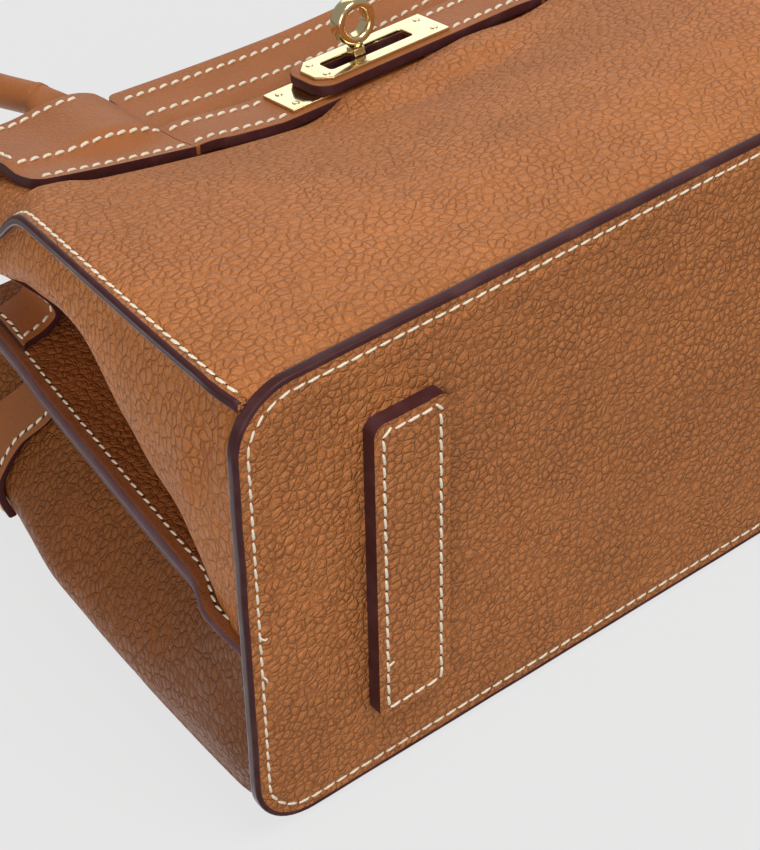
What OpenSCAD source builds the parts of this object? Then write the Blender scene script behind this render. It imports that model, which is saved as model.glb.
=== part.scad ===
// Belted satchel bag, standing on its two foot strips.
// Millimetres. +X right and -Y front as seen from the front, +Z up. z = 0 is under the foot strips.

/* [Body] */
// overall width across the painted base edge
body_w = 250; // [200:1:320]
// overall depth across the painted base edge
body_d = 130; // [100:1:170]
// height of the front and back panels above the base
body_h = 150; // [120:1:200]
// corner radius of the base in plan
base_r = 16; // [8:1:24]
// height of the painted base edge
flange_t = 3; // [2:0.1:4]
// thickness of the bottom leather
bottom_t = 1.6; // [1.2:0.1:2]
// thickness of the panel leather
leather_t = 2; // [1.4:0.1:2.6]
// thickness of the lining
lining_t = 0.8; // [0.5:0.1:1.2]
// thickness of the base board
board_t = 2.2; // [1.5:0.1:3]

/* [Feet] */
// thickness of the leather foot strips
foot_t = 4; // [3:0.1:6]
// width of a foot strip
foot_w = 21; // [14:0.5:30]
// length of a foot strip
foot_len = 88; // [60:1:96]
// distance from the side of the base to the middle of a foot strip
foot_in = 43.7; // [30:0.1:60]
// corner radius of a foot strip
foot_r = 2; // [1:0.5:4]

/* [Seams] */
// thickness of the painted edge seams
seam_t = 2.8; // [2:0.1:3.6]
// how far the front edge seams stand out
seam_w = 2.4; // [1.6:0.1:3.2]
// thickness of the raised seam in the middle of a gusset
ridge_t = 5.4; // [2.4:0.1:6]
// how far the gussets wrap round onto the back
wrap_r = 4.5; // [3:0.5:12]
// how far the back edge seams stand out
back_seam_out = 1.3; // [0.8:0.1:1.6]
// height of the gussets above the base
gusset_h = 146; // [100:1:148]

/* [Straps] */
// height of a strap
strap_h = 17.5; // [14:0.5:22]
// thickness of a strap
strap_t = 3; // [2.4:0.1:4]
// height of the strap's middle line above the base
strap_z = 117.5; // [100:0.5:125]
// where the strap tongues bend, from the middle
strap_hinge_x = 57; // [50:1:64]
// how far a tongue reaches past the middle
strap_tip = 18; // [16:0.5:22]
// outer end of the sewn wings, from the middle
wing_x = 102; // [90:1:104]
// height of the wing's top above the base
wing_top = 148.5; // [138:0.5:160]
// corner radius of the wings
wing_r = 10; // [6:0.5:14]
// height of the sewn rim band
band_h = 18; // [12:0.5:22]
// thickness of the rim band
band_t = 2.6; // [2:0.1:3.2]
// thickness of the side straps
side_strap_t = 2.4; // [2:0.1:2.8]

/* [Lock] */
// length of a strap plate
plate_len = 42; // [40:0.5:52]
// height of a strap plate
plate_h = 13.4; // [11:0.1:15]
// thickness of a strap plate
plate_t = 0.9; // [0.7:0.1:1.2]
// chamfer at the plate's free corners
plate_cut = 3.6; // [2:0.1:5]
// outer diameter of the turning ring
ring_od = 12.4; // [11:0.1:13]
// hole diameter of the turning ring
ring_id = 7.2; // [6:0.1:7.6]
// thickness of the turning ring
ring_t = 4.6; // [4:0.1:4.8]
// height of the slot in a plate
slot_h = 5.6; // [5.4:0.1:6.5]
// side of the square post
post_w = 3.6; // [3:0.1:4.4]
// radius of the plate pins
pin_r = 1; // [0.7:0.1:1.3]

/* [Handles] */
// radius of a rolled handle
handle_r = 4.7; // [3.8:0.1:7]
// distance between the two legs of a handle
handle_span = 142; // [120:1:160]
// rise of a handle above its pivot
handle_rise = 88; // [60:1:120]
// how far the legs of a handle spread, as a share of their distance at the top
handle_bow = 0.3; // [0:0.05:0.5]
// lean of the front handle towards the back, in degrees
handle_lean = 10; // [0:1:14]
// width of a handle's sewn tab
tab_w = 18; // [12:0.5:24]
// thickness of a handle's sewn tab
tab_t = 2.2; // [1.6:0.1:2.6]

/* [Inside] */
// width of the slip pocket
pocket_w = 130; // [90:1:150]
// height of the slip pocket
pocket_h = 60; // [40:1:75]
// length of the zip
zip_len = 140; // [100:1:160]
// height of the zip above the base
zip_z = 112; // [90:1:120]

/* [Hidden] */
$fn = 48;

half_w = body_w / 2;
half_d = body_d / 2;
// clearance between neighbouring layers of one body
gap = 0.2;
// clearance between layers of two bodies
run = 0.3;
// overrun of a cutting body
over = 1;
// smallest length that keeps a layer from touching exactly
hair = 0.01;

// Small sizes of the plates, lock, handles and zip.
plate_inset = 2;
plate_x1 = strap_tip - plate_inset;
collar_len = 1.6;
stem_len = 0.6;
stem_r = 1.7;
neck_len = 5;
neck_r = 1.2;
neck_run = 0.05;
pivot_up = 8;
leg_out = 2.6;
tip_r = 5;
slot_room = 4;
slot_back = 6.6;
pin_in = 3;
pin_end = 3.5;
pin_up = 0.25;
ring_round = 1.1;
ring_sink = 1;
eye_side = 1.6;
slider_h = 7;

// Heights are shares of body_h, widths shares of half_w and depths shares of half_d.
seam_x_shares = [[0.02, 0.948], [0.08, 0.964], [0.333, 0.956], [0.533, 0.936], [0.607, 0.924],
  [0.72, 0.904], [0.867, 0.884], [1, 0.864]];
seam_y_shares = [[0.02, 0.943], [0.08, 0.985], [0.333, 0.985], [0.533, 0.954], [0.607, 0.923],
  [0.667, 0.808], [0.72, 0.692], [0.8, 0.585], [1, 0.508]];
mid_y_shares = [[0.02, 0.977], [0.08, 0.995], [0.2, 0.992], [0.333, 0.923], [0.533, 0.746],
  [0.667, 0.585], [0.74, 0.51], [0.8, 0.488], [0.88, 0.482], [1, 0.508]];
side_y_shares = [[0.02, 0.977], [0.08, 0.995], [0.333, 0.998], [0.533, 0.962], [0.607, 0.931],
  [0.667, 0.862], [0.72, 0.815], [0.78, 0.763], [0.867, 0.692], [1, 0.608]];
back_y_shares = [[0.02, 0.955], [0.1, 0.975], [0.6, 0.968], [1, 0.93]];
back_seam_shares = [[0.02, 0.943], [0.1, 0.975], [0.6, 0.96], [1, 0.915]];
gusset_out_shares = [[0.02, 0.985], [0.133, 0.992], [0.333, 0.976], [0.6, 0.948],
  [0.72, 0.92], [0.867, 0.88]];
gusset_back_shares = [[0.02, 0.985], [0.133, 0.997], [0.333, 0.994], [0.6, 0.972],
  [0.72, 0.945], [0.867, 0.905]];
gusset_valley_shares = [[0.02, 0.985], [0.133, 0.95], [0.2, 0.9], [0.333, 0.84],
  [0.6, 0.744], [0.867, 0.66]];
// share of the half gusset at which it stands out most, and how its fold falls in from there
swell_front_shares = [[0.133, 0.35], [0.333, 0.3], [0.467, 0.18], [0.733, 0.15]];
swell_back_shares = [[0.133, 0.35], [0.333, 0.28], [0.6, 0.25]];
fold_front_powers = [[0.133, 2], [0.333, 1.6], [0.467, 1], [0.733, 0.9]];
fold_back_powers = [[0.133, 2], [0.6, 1.6]];
ridge_shares = [[0.02, 0.996], [0.107, 0.992], [0.193, 0.956], [0.287, 0.944],
  [0.42, 0.924], [0.553, 0.904], [0.707, 0.88], [0.823, 0.858], [0.973, 0.84]];
// height of the side straps' lower edge, along each strap towards the back
front_low_shares = [[0, 0.82], [0.7, 0.823], [1, 0.805]];
back_low_shares = [[0, 0.755], [0.2, 0.763], [0.42, 0.8], [0.8, 0.82]];
// how the front panel's hollow grows from the middle to the side
hollow_power = 1.5;
// share of the width where the panel's edge starts to curl back
curl_share = 0.9;
// depth share of the gusset's middle seam, from the middle towards the back
ridge_y_share = 0.1;
// rows of the panels and gussets, and columns of the panels
rows = 15;
front_cols = 24;
half_cols = 12;

function hs(h) = h / body_h;
function seam_x(h) = half_w * lookup(hs(h), seam_x_shares);
function seam_y(h) = half_d * lookup(hs(h), seam_y_shares);
function mid_y(h) = half_d * lookup(hs(h), mid_y_shares);
function side_y(h) = half_d * lookup(hs(h), side_y_shares);
function back_edge_y(h) = half_d * lookup(hs(h), back_seam_shares);
function back_mid_y(h) = half_d * lookup(hs(h), back_y_shares);
function gusset_out(h) = half_w * lookup(hs(h), gusset_out_shares);
function gusset_back(h) = half_w * lookup(hs(h), gusset_back_shares);
function gusset_valley(h) = half_w * lookup(hs(h), gusset_valley_shares);
function ridge_x(h) = half_w * lookup(hs(h), ridge_shares);
ridge_y = half_d * ridge_y_share;

// Depth of the front panel's outer face, as a positive distance in front of the middle.
function front_y(x, h) =
  let (s = min(1, abs(x) / seam_x(h)), c = max(0, (s - curl_share) / (1 - curl_share)))
  mid_y(h) + (side_y(h) - mid_y(h)) * pow(s, hollow_power) + (seam_y(h) - side_y(h)) * c * c;
// Depth of the back panel's outer face.
function back_y(x, h) =
  let (s = min(1, abs(x) / seam_x(h)), c = max(0, (s - curl_share) / (1 - curl_share)))
  back_mid_y(h) + (back_edge_y(h) - back_mid_y(h)) * c * c;
// Distance of a gusset's outer face from the middle, t from an edge seam (0) to the fold (1).
function gusset_x(t, h, end) =
  let (a = seam_x(h) + gap, o = end < 0 ? gusset_out(h) : gusset_back(h), v = gusset_valley(h),
    swell = lookup(hs(h), end < 0 ? swell_front_shares : swell_back_shares),
    power = lookup(hs(h), end < 0 ? fold_front_powers : fold_back_powers))
  t < swell ? a + (o - a) * sin(90 * t / swell) : o - (o - v) * pow((t - swell) / (1 - swell), power);

// The wrap's middle at a back corner, and its reach from there to the back face.
function wrap_x(h) = seam_x(h) + gap - wrap_r;
function wrap_y(h) = back_edge_y(h) - wrap_r;
function wrap_out(h) = back_y(wrap_x(h), h) - wrap_y(h);
// Distance from the middle of a face d inside the wrap, at the depth y.
function wrap_in(y, h, d) =
  wrap_x(h) + (wrap_r - d) * sqrt(max(0, 1 - pow(max(0, y - wrap_y(h)) / (wrap_out(h) - d), 2)));

// A closed sheet between two equal grids of points.
module sheet(a, b) {
  m = len(a);
  n = len(a[0]);
  size = m * n;
  pts = [for (r = a) for (p = r) p, for (r = b) for (p = r) p];
  cells = [for (i = [0 : m - 2]) for (j = [0 : n - 2]) [i * n + j, i * n + j + 1,
    (i + 1) * n + j + 1, (i + 1) * n + j]];
  faces = concat(
    [for (c = cells) each [[c[0], c[1], c[2]], [c[0], c[2], c[3]]]],
    [for (c = cells) each [[size + c[0], size + c[2], size + c[1]],
      [size + c[0], size + c[3], size + c[2]]]],
    [for (j = [0 : n - 2]) each [[j, size + j, size + j + 1], [j, size + j + 1, j + 1]]],
    [for (j = [0 : n - 2]) let (k = (m - 1) * n + j)
      each [[k + 1, size + k + 1, size + k], [k + 1, size + k, k]]],
    [for (i = [0 : m - 2]) let (k = i * n, l = (i + 1) * n)
      each [[l, size + l, size + k], [l, size + k, k]]],
    [for (i = [0 : m - 2]) let (k = i * n + n - 1, l = (i + 1) * n + n - 1)
      each [[k, size + k, size + l], [k, size + l, l]]]);
  polyhedron(points = pts, faces = faces, convexity = 8);
}

function steps(a, b, n) = [for (i = [0 : n]) a + (b - a) * i / n];

// The front panel's grid, moved inwards by d.
function front_grid(d, h0, h1, x_in) =
  [for (h = steps(h0, h1, rows)) [for (u = steps(-1, 1, front_cols))
    let (x = u * (seam_x(h) - x_in)) [x, -front_y(x, h) + d, foot_t + h]]];
function back_grid(d, h0, h1, x_in) =
  [for (h = steps(h0, h1, rows)) [for (u = steps(-1, 1, front_cols))
    let (x = u * (seam_x(h) - x_in)) [x, back_y(x, h) - d, foot_t + h]]];

module rounded(w, d, r) {
  hull() for (x = [-1, 1]) for (y = [-1, 1]) translate([x * (w / 2 - r), y * (d / 2 - r)]) circle(r);
}

module slab(w, d, r, t) { linear_extrude(height = t) rounded(w, d, r); }

// width of the painted rim that shows round the bottom leather
paint_w = 1.2;
// width of the turned-in flange inside the painted rim
turn_w = 5;

module bottom_panel() {
  color([0.6, 0.38, 0.24]) translate([0, 0, foot_t])
    slab(body_w - 2 * paint_w - 2 * gap, body_d - 2 * paint_w - 2 * gap, base_r - paint_w, bottom_t);
}

module base_welt() {
  color([0.2, 0.1, 0.12]) translate([0, 0, foot_t]) {
    difference() {
      slab(body_w, body_d, base_r, flange_t);
      translate([0, 0, -over])
        slab(body_w - 2 * paint_w, body_d - 2 * paint_w, base_r - paint_w, bottom_t + gap + over);
      translate([0, 0, -over])
        slab(body_w - 2 * turn_w, body_d - 2 * turn_w, base_r - turn_w, flange_t + 2 * over);
    }
  }
}

module foot_strip(side) {
  color([0.66, 0.42, 0.28]) translate([side * (half_w - foot_in), 0, 0])
    slab(foot_w, foot_len, foot_r, foot_t);
}

board_z = foot_t + bottom_t + gap;
floor_z = board_z + board_t + gap;
inner_gap = turn_w + gap;

// The board keeps clear of the gussets' turned corners.
board_in = inner_gap + leather_t + 2 * gap;
module bottom_board() {
  color([0.3, 0.26, 0.22]) translate([0, 0, board_z])
    slab(body_w - 2 * board_in, body_d - 2 * board_in, base_r - turn_w, board_t);
}

module lining_floor() {
  color([0.55, 0.4, 0.28]) translate([0, 0, floor_z])
    slab(2 * floor_x, 2 * (back_edge_y(floor_h) - lining_in - lining_t - gap - floor_side),
      base_r - turn_w, lining_t);
}

panel_h0 = flange_t + gap;
module front_panel() {
  color([0.72, 0.47, 0.32])
    sheet(front_grid(leather_t, panel_h0, body_h, 0), front_grid(0, panel_h0, body_h, 0));
}
back_x_in = wrap_r + seam_t + gap;
module back_panel() {
  color([0.68, 0.44, 0.3])
    sheet(back_grid(0, panel_h0, body_h, back_x_in),
      back_grid(leather_t, panel_h0, body_h, back_x_in));
}

// One half of a gusset: side is -1 left or 1 right, end is -1 front or 1 back.
function gusset_edge_y(h, end) = end < 0 ? -(seam_y(h) - seam_t - gap) : wrap_y(h);
function gusset_grid(side, end, d) =
  [for (h = steps(panel_h0, gusset_h, rows)) concat(
    [for (a = end < 0 ? [] : steps(90, 90 / wrap_cols, wrap_cols - 1))
      [side * (wrap_x(h) + (wrap_r - d) * cos(a)), wrap_y(h) + (wrap_out(h) - d) * sin(a), foot_t + h]],
    [for (t = steps(0, 1, half_cols))
      let (y0 = gusset_edge_y(h, end), y1 = ridge_y + end * (ridge_t / 2 + gap))
      [side * (gusset_x(t, h, end) - d), y0 + (y1 - y0) * t, foot_t + h]])];
wrap_cols = 4;
module gusset_half(side, end) {
  color([0.7, 0.45, 0.3])
    if (side * end > 0) sheet(gusset_grid(side, end, 0), gusset_grid(side, end, leather_t));
    else sheet(gusset_grid(side, end, leather_t), gusset_grid(side, end, 0));
}

// A painted strip that follows the heights, from x0(h) to x1(h) and y0(h) to y1(h).
module strip(side, pts) {
  a = [for (p = pts) [[side * p[0], p[2], p[4]], [side * p[1], p[2], p[4]]]];
  b = [for (p = pts) [[side * p[0], p[3], p[4]], [side * p[1], p[3], p[4]]]];
  if (side > 0) sheet(b, a); else sheet(a, b);
}

// depth of the middle seam below the bottom of the fold
ridge_root = 2;
module gusset_seam(side) {
  color([0.25, 0.12, 0.14]) strip(side, [for (h = steps(panel_h0, gusset_h, rows))
    [gusset_valley(h) - ridge_root, ridge_x(h), ridge_y - ridge_t / 2, ridge_y + ridge_t / 2,
      foot_t + h]]);
}

module front_seam(side) {
  color([0.25, 0.12, 0.14]) strip(side, [for (h = steps(panel_h0, body_h, rows))
    [seam_x(h) + gap, seam_x(h) + gap + (h < gusset_h ? seam_w : seam_w / 2),
      -seam_y(h), -seam_y(h) + seam_t - gap, foot_t + h]]);
}
// The back edge seams lie on the back face, where the wrapped gussets end.
module back_seam(side) {
  color([0.25, 0.12, 0.14]) strip(side, [for (h = steps(panel_h0, body_h, rows))
    let (x = wrap_x(h) - gap, y = back_y(x, h))
    [x - seam_t, x, y - leather_t, y + back_seam_out, foot_t + h]]);
}

// distance of the lining's outer face inside the panel's outer face
lining_in = leather_t + gap;
lining_h0 = floor_z - foot_t + lining_t + gap;
lining_h1 = body_h - lining_t;
// height at which the lining floor is measured, and its inset there
floor_h = lining_h0;
floor_side = 1;
floor_x = gusset_valley(floor_h) - lining_in - lining_t - 2 * floor_side;
// The front and back linings reach to the side linings.
function lining_x(h) = gusset_valley(min(h, gusset_h)) - ridge_root - lining_t - 2 * gap;
function lining_grid(end, d) =
  [for (h = steps(lining_h0, lining_h1, rows)) [for (u = steps(-1, 1, lining_cols))
    let (x = u * (end < 0 ? lining_x(h) : min(lining_x(h), wrap_x(h) + lining_t)))
    [x, end < 0 ? -front_y(x, h) + d : back_y(x, h) - d, foot_t + h]]];
lining_cols = 12;
module lining_front() {
  color([0.5, 0.36, 0.25]) sheet(lining_grid(-1, lining_in + lining_t), lining_grid(-1, lining_in));
}
module lining_back() {
  color([0.5, 0.36, 0.25]) sheet(lining_grid(1, lining_in), lining_grid(1, lining_in + lining_t));
}
// Distance from the middle of a face d inside a gusset's outer face, at the depth y.
function fold_x(y, h, d = 0) =
  let (end = y < ridge_y ? -1 : 1, y0 = gusset_edge_y(h, end), t = (y - y0) / (ridge_y - y0))
  y > wrap_y(h) ? wrap_in(y, h, d) : gusset_x(min(1, max(0, t)), h, end) - d;
// The side lining runs straight behind the fold and gives way to the gusset near the edge seams.
function side_lining(side, d) = [for (h = steps(lining_h0, gusset_h - lining_t, rows))
  let (x = gusset_valley(h) - ridge_root - gap - d)
  [for (t = steps(0, 1, side_cols))
    let (y0 = -front_y(x, h) + lining_in + lining_t + gap, y1 = back_y(x, h) - lining_in - lining_t - gap,
      y = y0 + (y1 - y0) * t)
    [side * min(x, fold_x(y, h, leather_t + 2 * gap) - d), y, foot_t + h]]];
side_cols = 16;
module lining_side(side) {
  color([0.5, 0.36, 0.25]) if (side > 0) sheet(side_lining(side, 0), side_lining(side, lining_t));
    else sheet(side_lining(side, lining_t), side_lining(side, 0));
}

// top of the rim bands, a little over the panels' own edge
band_top = body_h;
band_x = strap_hinge_x - run - gap;
band_cols = 14;
module rim_band_front() {
  a = [for (h = steps(band_top - band_h, band_top, 6)) [for (x = steps(-band_x, band_x, band_cols))
    [x, -front_y(x, h) - gap, foot_t + h]]];
  b = [for (h = steps(band_top - band_h, band_top, 6)) [for (x = steps(-band_x, band_x, band_cols))
    [x, -front_y(x, h) - gap - band_t, foot_t + h]]];
  color([0.74, 0.48, 0.33]) sheet(a, b);
}
// The back band stops short of the handle tabs.
module rim_band_back() {
  bx = handle_span / 2 - tab_w / 2 - gap;
  a = [for (h = steps(band_top - band_h, band_top, 6)) [for (x = steps(-bx, bx, band_cols))
    [x, back_y(x, h) + gap, foot_t + h]]];
  b = [for (h = steps(band_top - band_h, band_top, 6)) [for (x = steps(-bx, bx, band_cols))
    [x, back_y(x, h) + gap + band_t, foot_t + h]]];
  color([0.74, 0.48, 0.33]) sheet(b, a);
}

// The wing lies close to the panel at its foot and stands off over the handle's tab.
wing_low = strap_z - strap_h / 2;
wing_swell = 2.4;
// how far the wing has risen over the tab, from its inner end on
function wing_rise(x) = min(1, max(0, (x - strap_hinge_x) / (handle_span / 2 - tab_w / 2 - strap_hinge_x)));
function wing_off(x, h) = gap + min(1, max(0, (h - strap_z) / (tab_low - strap_z)))
  * ((tab_t + gap) * wing_rise(x) + wing_swell * pow(cos(90 * min(1, abs(x - handle_span / 2) / tab_w)), 2));
tab_low = strap_z + strap_h / 2;
function corner(d, r) = d >= r ? 0 : r - sqrt(max(0, r * r - (r - d) * (r - d)));
wing_cols = 16;
wing_rows = 8;
function wing_xs() = [for (u = steps(0, 180, wing_cols))
  strap_hinge_x + run / 2 + (wing_x - strap_hinge_x - run / 2) * (1 - cos(u)) / 2];
function wing_grid(side, d) = [for (v = steps(0, 1, wing_rows)) [for (x = wing_xs())
  let (cut_in = corner(x - strap_hinge_x, wing_r), cut_out = corner(wing_x - x, wing_r),
    low = wing_low + corner(wing_x - x, wing_r / 3), top = wing_top - max(cut_in, cut_out),
    h = low + (top - low) * v)
  [side * x, -front_y(x, h) - wing_off(x, h) - d, foot_t + h]]];
module wing(side) {
  color([0.74, 0.48, 0.33])
    if (side > 0) sheet(wing_grid(side, 0), wing_grid(side, strap_t));
    else sheet(wing_grid(side, strap_t), wing_grid(side, 0));
}

// The side straps lie on the gusset halves. A front one follows the leather into the fold and
// turns out again along the middle seam. A back one ends at the bottom of the fold.
side_strap_cols = 36;
// share of the half gusset at which the front strap leaves the leather, and its gap at the edge seam
turn_t = 0.62;
first_t = 0.02;
// shares of the front strap's length at which its turn starts and ends
turn_from = 0.45;
turn_to = 0.9;
// distance of its end from the painted edge
strap_end_in = 2.5;
// half of the stretch over which the strap's direction is taken
dir_step = 0.005;
function fold_at(t, h) =
  let (y0 = gusset_edge_y(h, -1), y1 = ridge_y - ridge_t / 2 - gap)
  [gusset_x(t, h, -1) + run, y0 + (y1 - y0) * t];
function turn_points(h) =
  let (p = fold_at(turn_t, h), q = fold_at(turn_t + dir_step, h), y = ridge_y - ridge_t / 2 - run,
    c = [p[0] + (q[0] - p[0]) / (q[1] - p[1]) * (y - p[1]), y])
  [p, c, c + [norm(p - c), 0]];
function front_line(s, h) =
  let (b = turn_points(h), last = [ridge_x(h) - strap_end_in, b[2][1]],
    u = (s - turn_from) / (turn_to - turn_from))
  s < turn_from ? fold_at(first_t + (turn_t - first_t) * s / turn_from, h)
  : s < turn_to ? (1 - u) * (1 - u) * b[0] + 2 * u * (1 - u) * b[1] + u * u * b[2]
  : b[2] + (last - b[2]) * (s - turn_to) / (1 - turn_to);
function front_strap_point(s, h, d) =
  let (a = front_line(max(0, s - dir_step), h), b = front_line(min(1, s + dir_step), h),
    along = (b - a) / norm(b - a))
  front_line(s, h) + d * [along[1], -along[0]];
// share of the half gusset at which the back strap ends in the fold
back_end_t = 0.93;
function back_strap_point(s, h, d) =
  let (t = first_t + (back_end_t - first_t) * (1 - s), y0 = gusset_edge_y(h, 1),
    y1 = ridge_y + ridge_t / 2 + gap)
  [gusset_x(t, h, 1) + run + d, y0 + (y1 - y0) * t];
function side_strap_grid(side, end, d) =
  [for (v = steps(0, 1, 3)) [for (s = steps(0, 1, side_strap_cols))
    let (h = body_h * lookup(s, end < 0 ? front_low_shares : back_low_shares) + strap_h * v,
      p = end < 0 ? front_strap_point(s, h, d) : back_strap_point(s, h, d))
    [side * p[0], p[1], foot_t + h]]];
module side_strap(side, end) {
  color([0.66, 0.42, 0.28])
    if (side > 0) sheet(side_strap_grid(side, end, side_strap_t), side_strap_grid(side, end, 0));
    else sheet(side_strap_grid(side, end, 0), side_strap_grid(side, end, side_strap_t));
}

// Lock frame: x across, outward distance n along -y, w up along the leaning front.
lock_tilt = 8;
lock_y = mid_y(strap_z);
// distance from the panel that a tongue's inner face needs at x, over the strap's height
function need_at(x, h) =
  (front_y(x, h) + 2 * run - lock_y + (h - strap_z) * tan(lock_tilt)) / cos(lock_tilt);
function need(x) = max([for (h = steps(strap_z - strap_h / 2, strap_z + strap_h / 2, 4)) need_at(x, h)]);
base_len = 34;
base_n = need(base_len / 2);
flat_x = plate_len - strap_tip + plate_inset + 3 * gap;
left_n = max(base_n + plate_t + run, need(flat_x));
right_n = left_n + strap_t + plate_t + run;
// outer face of both tongues at their bend
hinge_n = max(right_n, need(strap_hinge_x)) + strap_t;
module lock_frame() {
  translate([0, -lock_y, foot_t + strap_z - (hinge_n - strap_t / 2) * sin(lock_tilt)])
    rotate([-lock_tilt, 0, 0]) children();
}
function tongue_n(x, n) =
  let (s = max(0, (-x - flat_x) / (strap_hinge_x - flat_x)))
  strap_t + max(x < -flat_x ? need(x) : n, n + (hinge_n - n - strap_t) * s * s);
function tongue_xs() = concat([strap_tip], steps(-flat_x, -strap_hinge_x + run / 2, 10));
plate_x0 = -plate_len + strap_tip - plate_inset;
// The left tongue in the lock frame, its bend at -x; the right one is its mirror at another n.
module tongue(n) {
  xs = tongue_xs();
  outer = [for (x = xs) [x, -tongue_n(x, n)]];
  inner = [for (i = [len(xs) - 1 : -1 : 0]) [xs[i], -tongue_n(xs[i], n) + strap_t]];
  difference() {
    intersection() {
      translate([0, 0, -strap_h / 2]) linear_extrude(height = strap_h) polygon(concat(outer, inner));
      translate([0, over, 0]) rotate([90, 0, 0]) linear_extrude(height = hinge_n + 2 * over)
        union() {
          translate([-strap_hinge_x - over, -strap_h / 2])
            square([strap_hinge_x + over + strap_tip - tip_r, strap_h]);
          hull() for (s = [-1, 1]) translate([strap_tip - tip_r, s * (strap_h / 2 - tip_r)]) circle(tip_r);
        }
    }
    slot_cut(n);
  }
}
slot_x1 = ring_od / 2 + slot_room;
slot_x0 = -slot_x1 - slot_back;
// The slot leaves room for the ring along the whole swing.
module slot_cut(n) {
  translate([slot_x0, -n - strap_t - plate_t - over, -slot_h / 2])
    cube([slot_x1 - slot_x0, strap_t + plate_t + 2 * over, slot_h]);
}
module plate(n) {
  difference() {
    translate([0, -n - strap_t, 0]) rotate([90, 0, 0]) linear_extrude(height = plate_t)
      polygon([[plate_x0, -plate_h / 2], [plate_x1 - plate_cut, -plate_h / 2],
        [plate_x1, -plate_h / 2 + plate_cut], [plate_x1, plate_h / 2 - plate_cut],
        [plate_x1 - plate_cut, plate_h / 2], [plate_x0, plate_h / 2]]);
    slot_cut(n);
    for (p = pin_places()) pin_at(p, n, pin_r + hair, over);
  }
}
function pin_places() = [for (x = [plate_x0 + pin_in, plate_x1 - pin_end])
  for (s = [-1, 1]) [x, s * (plate_h / 2 - pin_in)]];
module pin_at(p, n, r, extra) {
  translate([p[0], -n - strap_t + extra, p[1]]) rotate([90, 0, 0])
    cylinder(h = plate_t + pin_up + 2 * extra, r = r);
}
module pins(n) { for (p = pin_places()) pin_at(p, n, pin_r, 0); }

module strap_left() { color([0.74, 0.48, 0.33]) lock_frame() tongue(left_n); }
module strap_plate_left() { color([0.95, 0.8, 0.45]) lock_frame() plate(left_n); }
module plate_pins_left() { color([0.95, 0.85, 0.55]) lock_frame() pins(left_n); }
module strap_right() { color([0.74, 0.48, 0.33]) lock_frame() mirror([1, 0, 0]) tongue(right_n); }
module strap_plate_right() { color([0.95, 0.8, 0.45]) lock_frame() mirror([1, 0, 0]) plate(right_n); }
module plate_pins_right() { color([0.95, 0.85, 0.55]) lock_frame() mirror([1, 0, 0]) pins(right_n); }

base_r2 = 2;
post_top = right_n + strap_t + plate_t + run;
collar_r = slot_h / 2 - run;
collar_n = post_top + collar_len;
ring_n = collar_n + run + stem_len + ring_od / 2;
module lock_base() {
  color([0.95, 0.8, 0.45]) lock_frame() difference() {
    translate([0, -base_n, 0]) rotate([90, 0, 0]) linear_extrude(height = plate_t)
      rounded(base_len, plate_h, base_r2);
    rotate([90, 0, 0]) cylinder(h = plate_t + base_n + over, r = stem_r + hair);
  }
}
// Square post with a round neck that the ring turns on.
module lock_post() {
  color([0.9, 0.75, 0.4]) lock_frame() difference() {
    union() {
      translate([-post_w / 2, -collar_n, -post_w / 2])
        cube([post_w, collar_n - base_n - plate_t - gap, post_w]);
      translate([0, -2 * gap, 0]) rotate([90, 0, 0]) cylinder(h = base_n + plate_t, r = stem_r);
    }
    translate([0, -collar_n - over, 0]) rotate([-90, 0, 0])
      cylinder(h = neck_len + over, r = neck_r + neck_run);
  }
}
// The ring, its hole along w: this is the open position, in line with the slots.
module lock_ring() {
  color([0.95, 0.82, 0.5]) lock_frame() union() {
    translate([0, -ring_n, -ring_t / 2]) difference() {
      ring_body();
      translate([0, 0, -over]) cylinder(h = ring_t + 2 * over, r = ring_id / 2);
    }
    translate([0, -collar_n + neck_len - run, 0]) rotate([90, 0, 0])
      cylinder(h = neck_len + run + stem_len, r = neck_r);
    translate([0, -collar_n - run, 0]) rotate([90, 0, 0]) cylinder(h = stem_len + ring_sink, r = stem_r);
  }
}
module ring_body() {
  rotate_extrude() hull() for (z = [ring_round, ring_t - ring_round])
    translate([ring_od / 2 - ring_round, z]) circle(ring_round);
  cylinder(h = ring_t, r = ring_od / 2 - ring_round);
}

// Handle legs stand over tabs sewn on the panels.
leg_x = handle_span / 2;
pivot_h = body_h + pivot_up;
front_leg_y = -front_y(leg_x, body_h) - leg_out;
back_leg_y = back_y(leg_x, body_h) - leather_t;
root_low = body_h + gap + run;
tab_h0 = tab_low + gap;
tab_rows = 6;
module tab_front(side) {
  g0 = [for (h = steps(tab_h0, body_h, tab_rows)) [for (x = steps(leg_x - tab_w / 2, leg_x + tab_w / 2, 6))
    [side * x, -front_y(x, h) - gap / 2, foot_t + h]]];
  g1 = [for (h = steps(tab_h0, body_h, tab_rows)) [for (x = steps(leg_x - tab_w / 2, leg_x + tab_w / 2, 6))
    [side * x, -front_y(x, h) - gap / 2 - tab_t, foot_t + h]]];
  if (side > 0) sheet(g0, g1); else sheet(g1, g0);
}
module tab_back(side) {
  g0 = [for (h = steps(tab_h0, body_h, tab_rows)) [for (x = steps(leg_x - tab_w / 2, leg_x + tab_w / 2, 6))
    [side * x, back_y(x, h) + gap / 2, foot_t + h]]];
  g1 = [for (h = steps(tab_h0, body_h, tab_rows)) [for (x = steps(leg_x - tab_w / 2, leg_x + tab_w / 2, 6))
    [side * x, back_y(x, h) + gap / 2 + tab_t, foot_t + h]]];
  if (side > 0) sheet(g1, g0); else sheet(g0, g1);
}
module handle_tabs_front() { color([0.7, 0.45, 0.3]) { tab_front(-1); tab_front(1); } }
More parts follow.
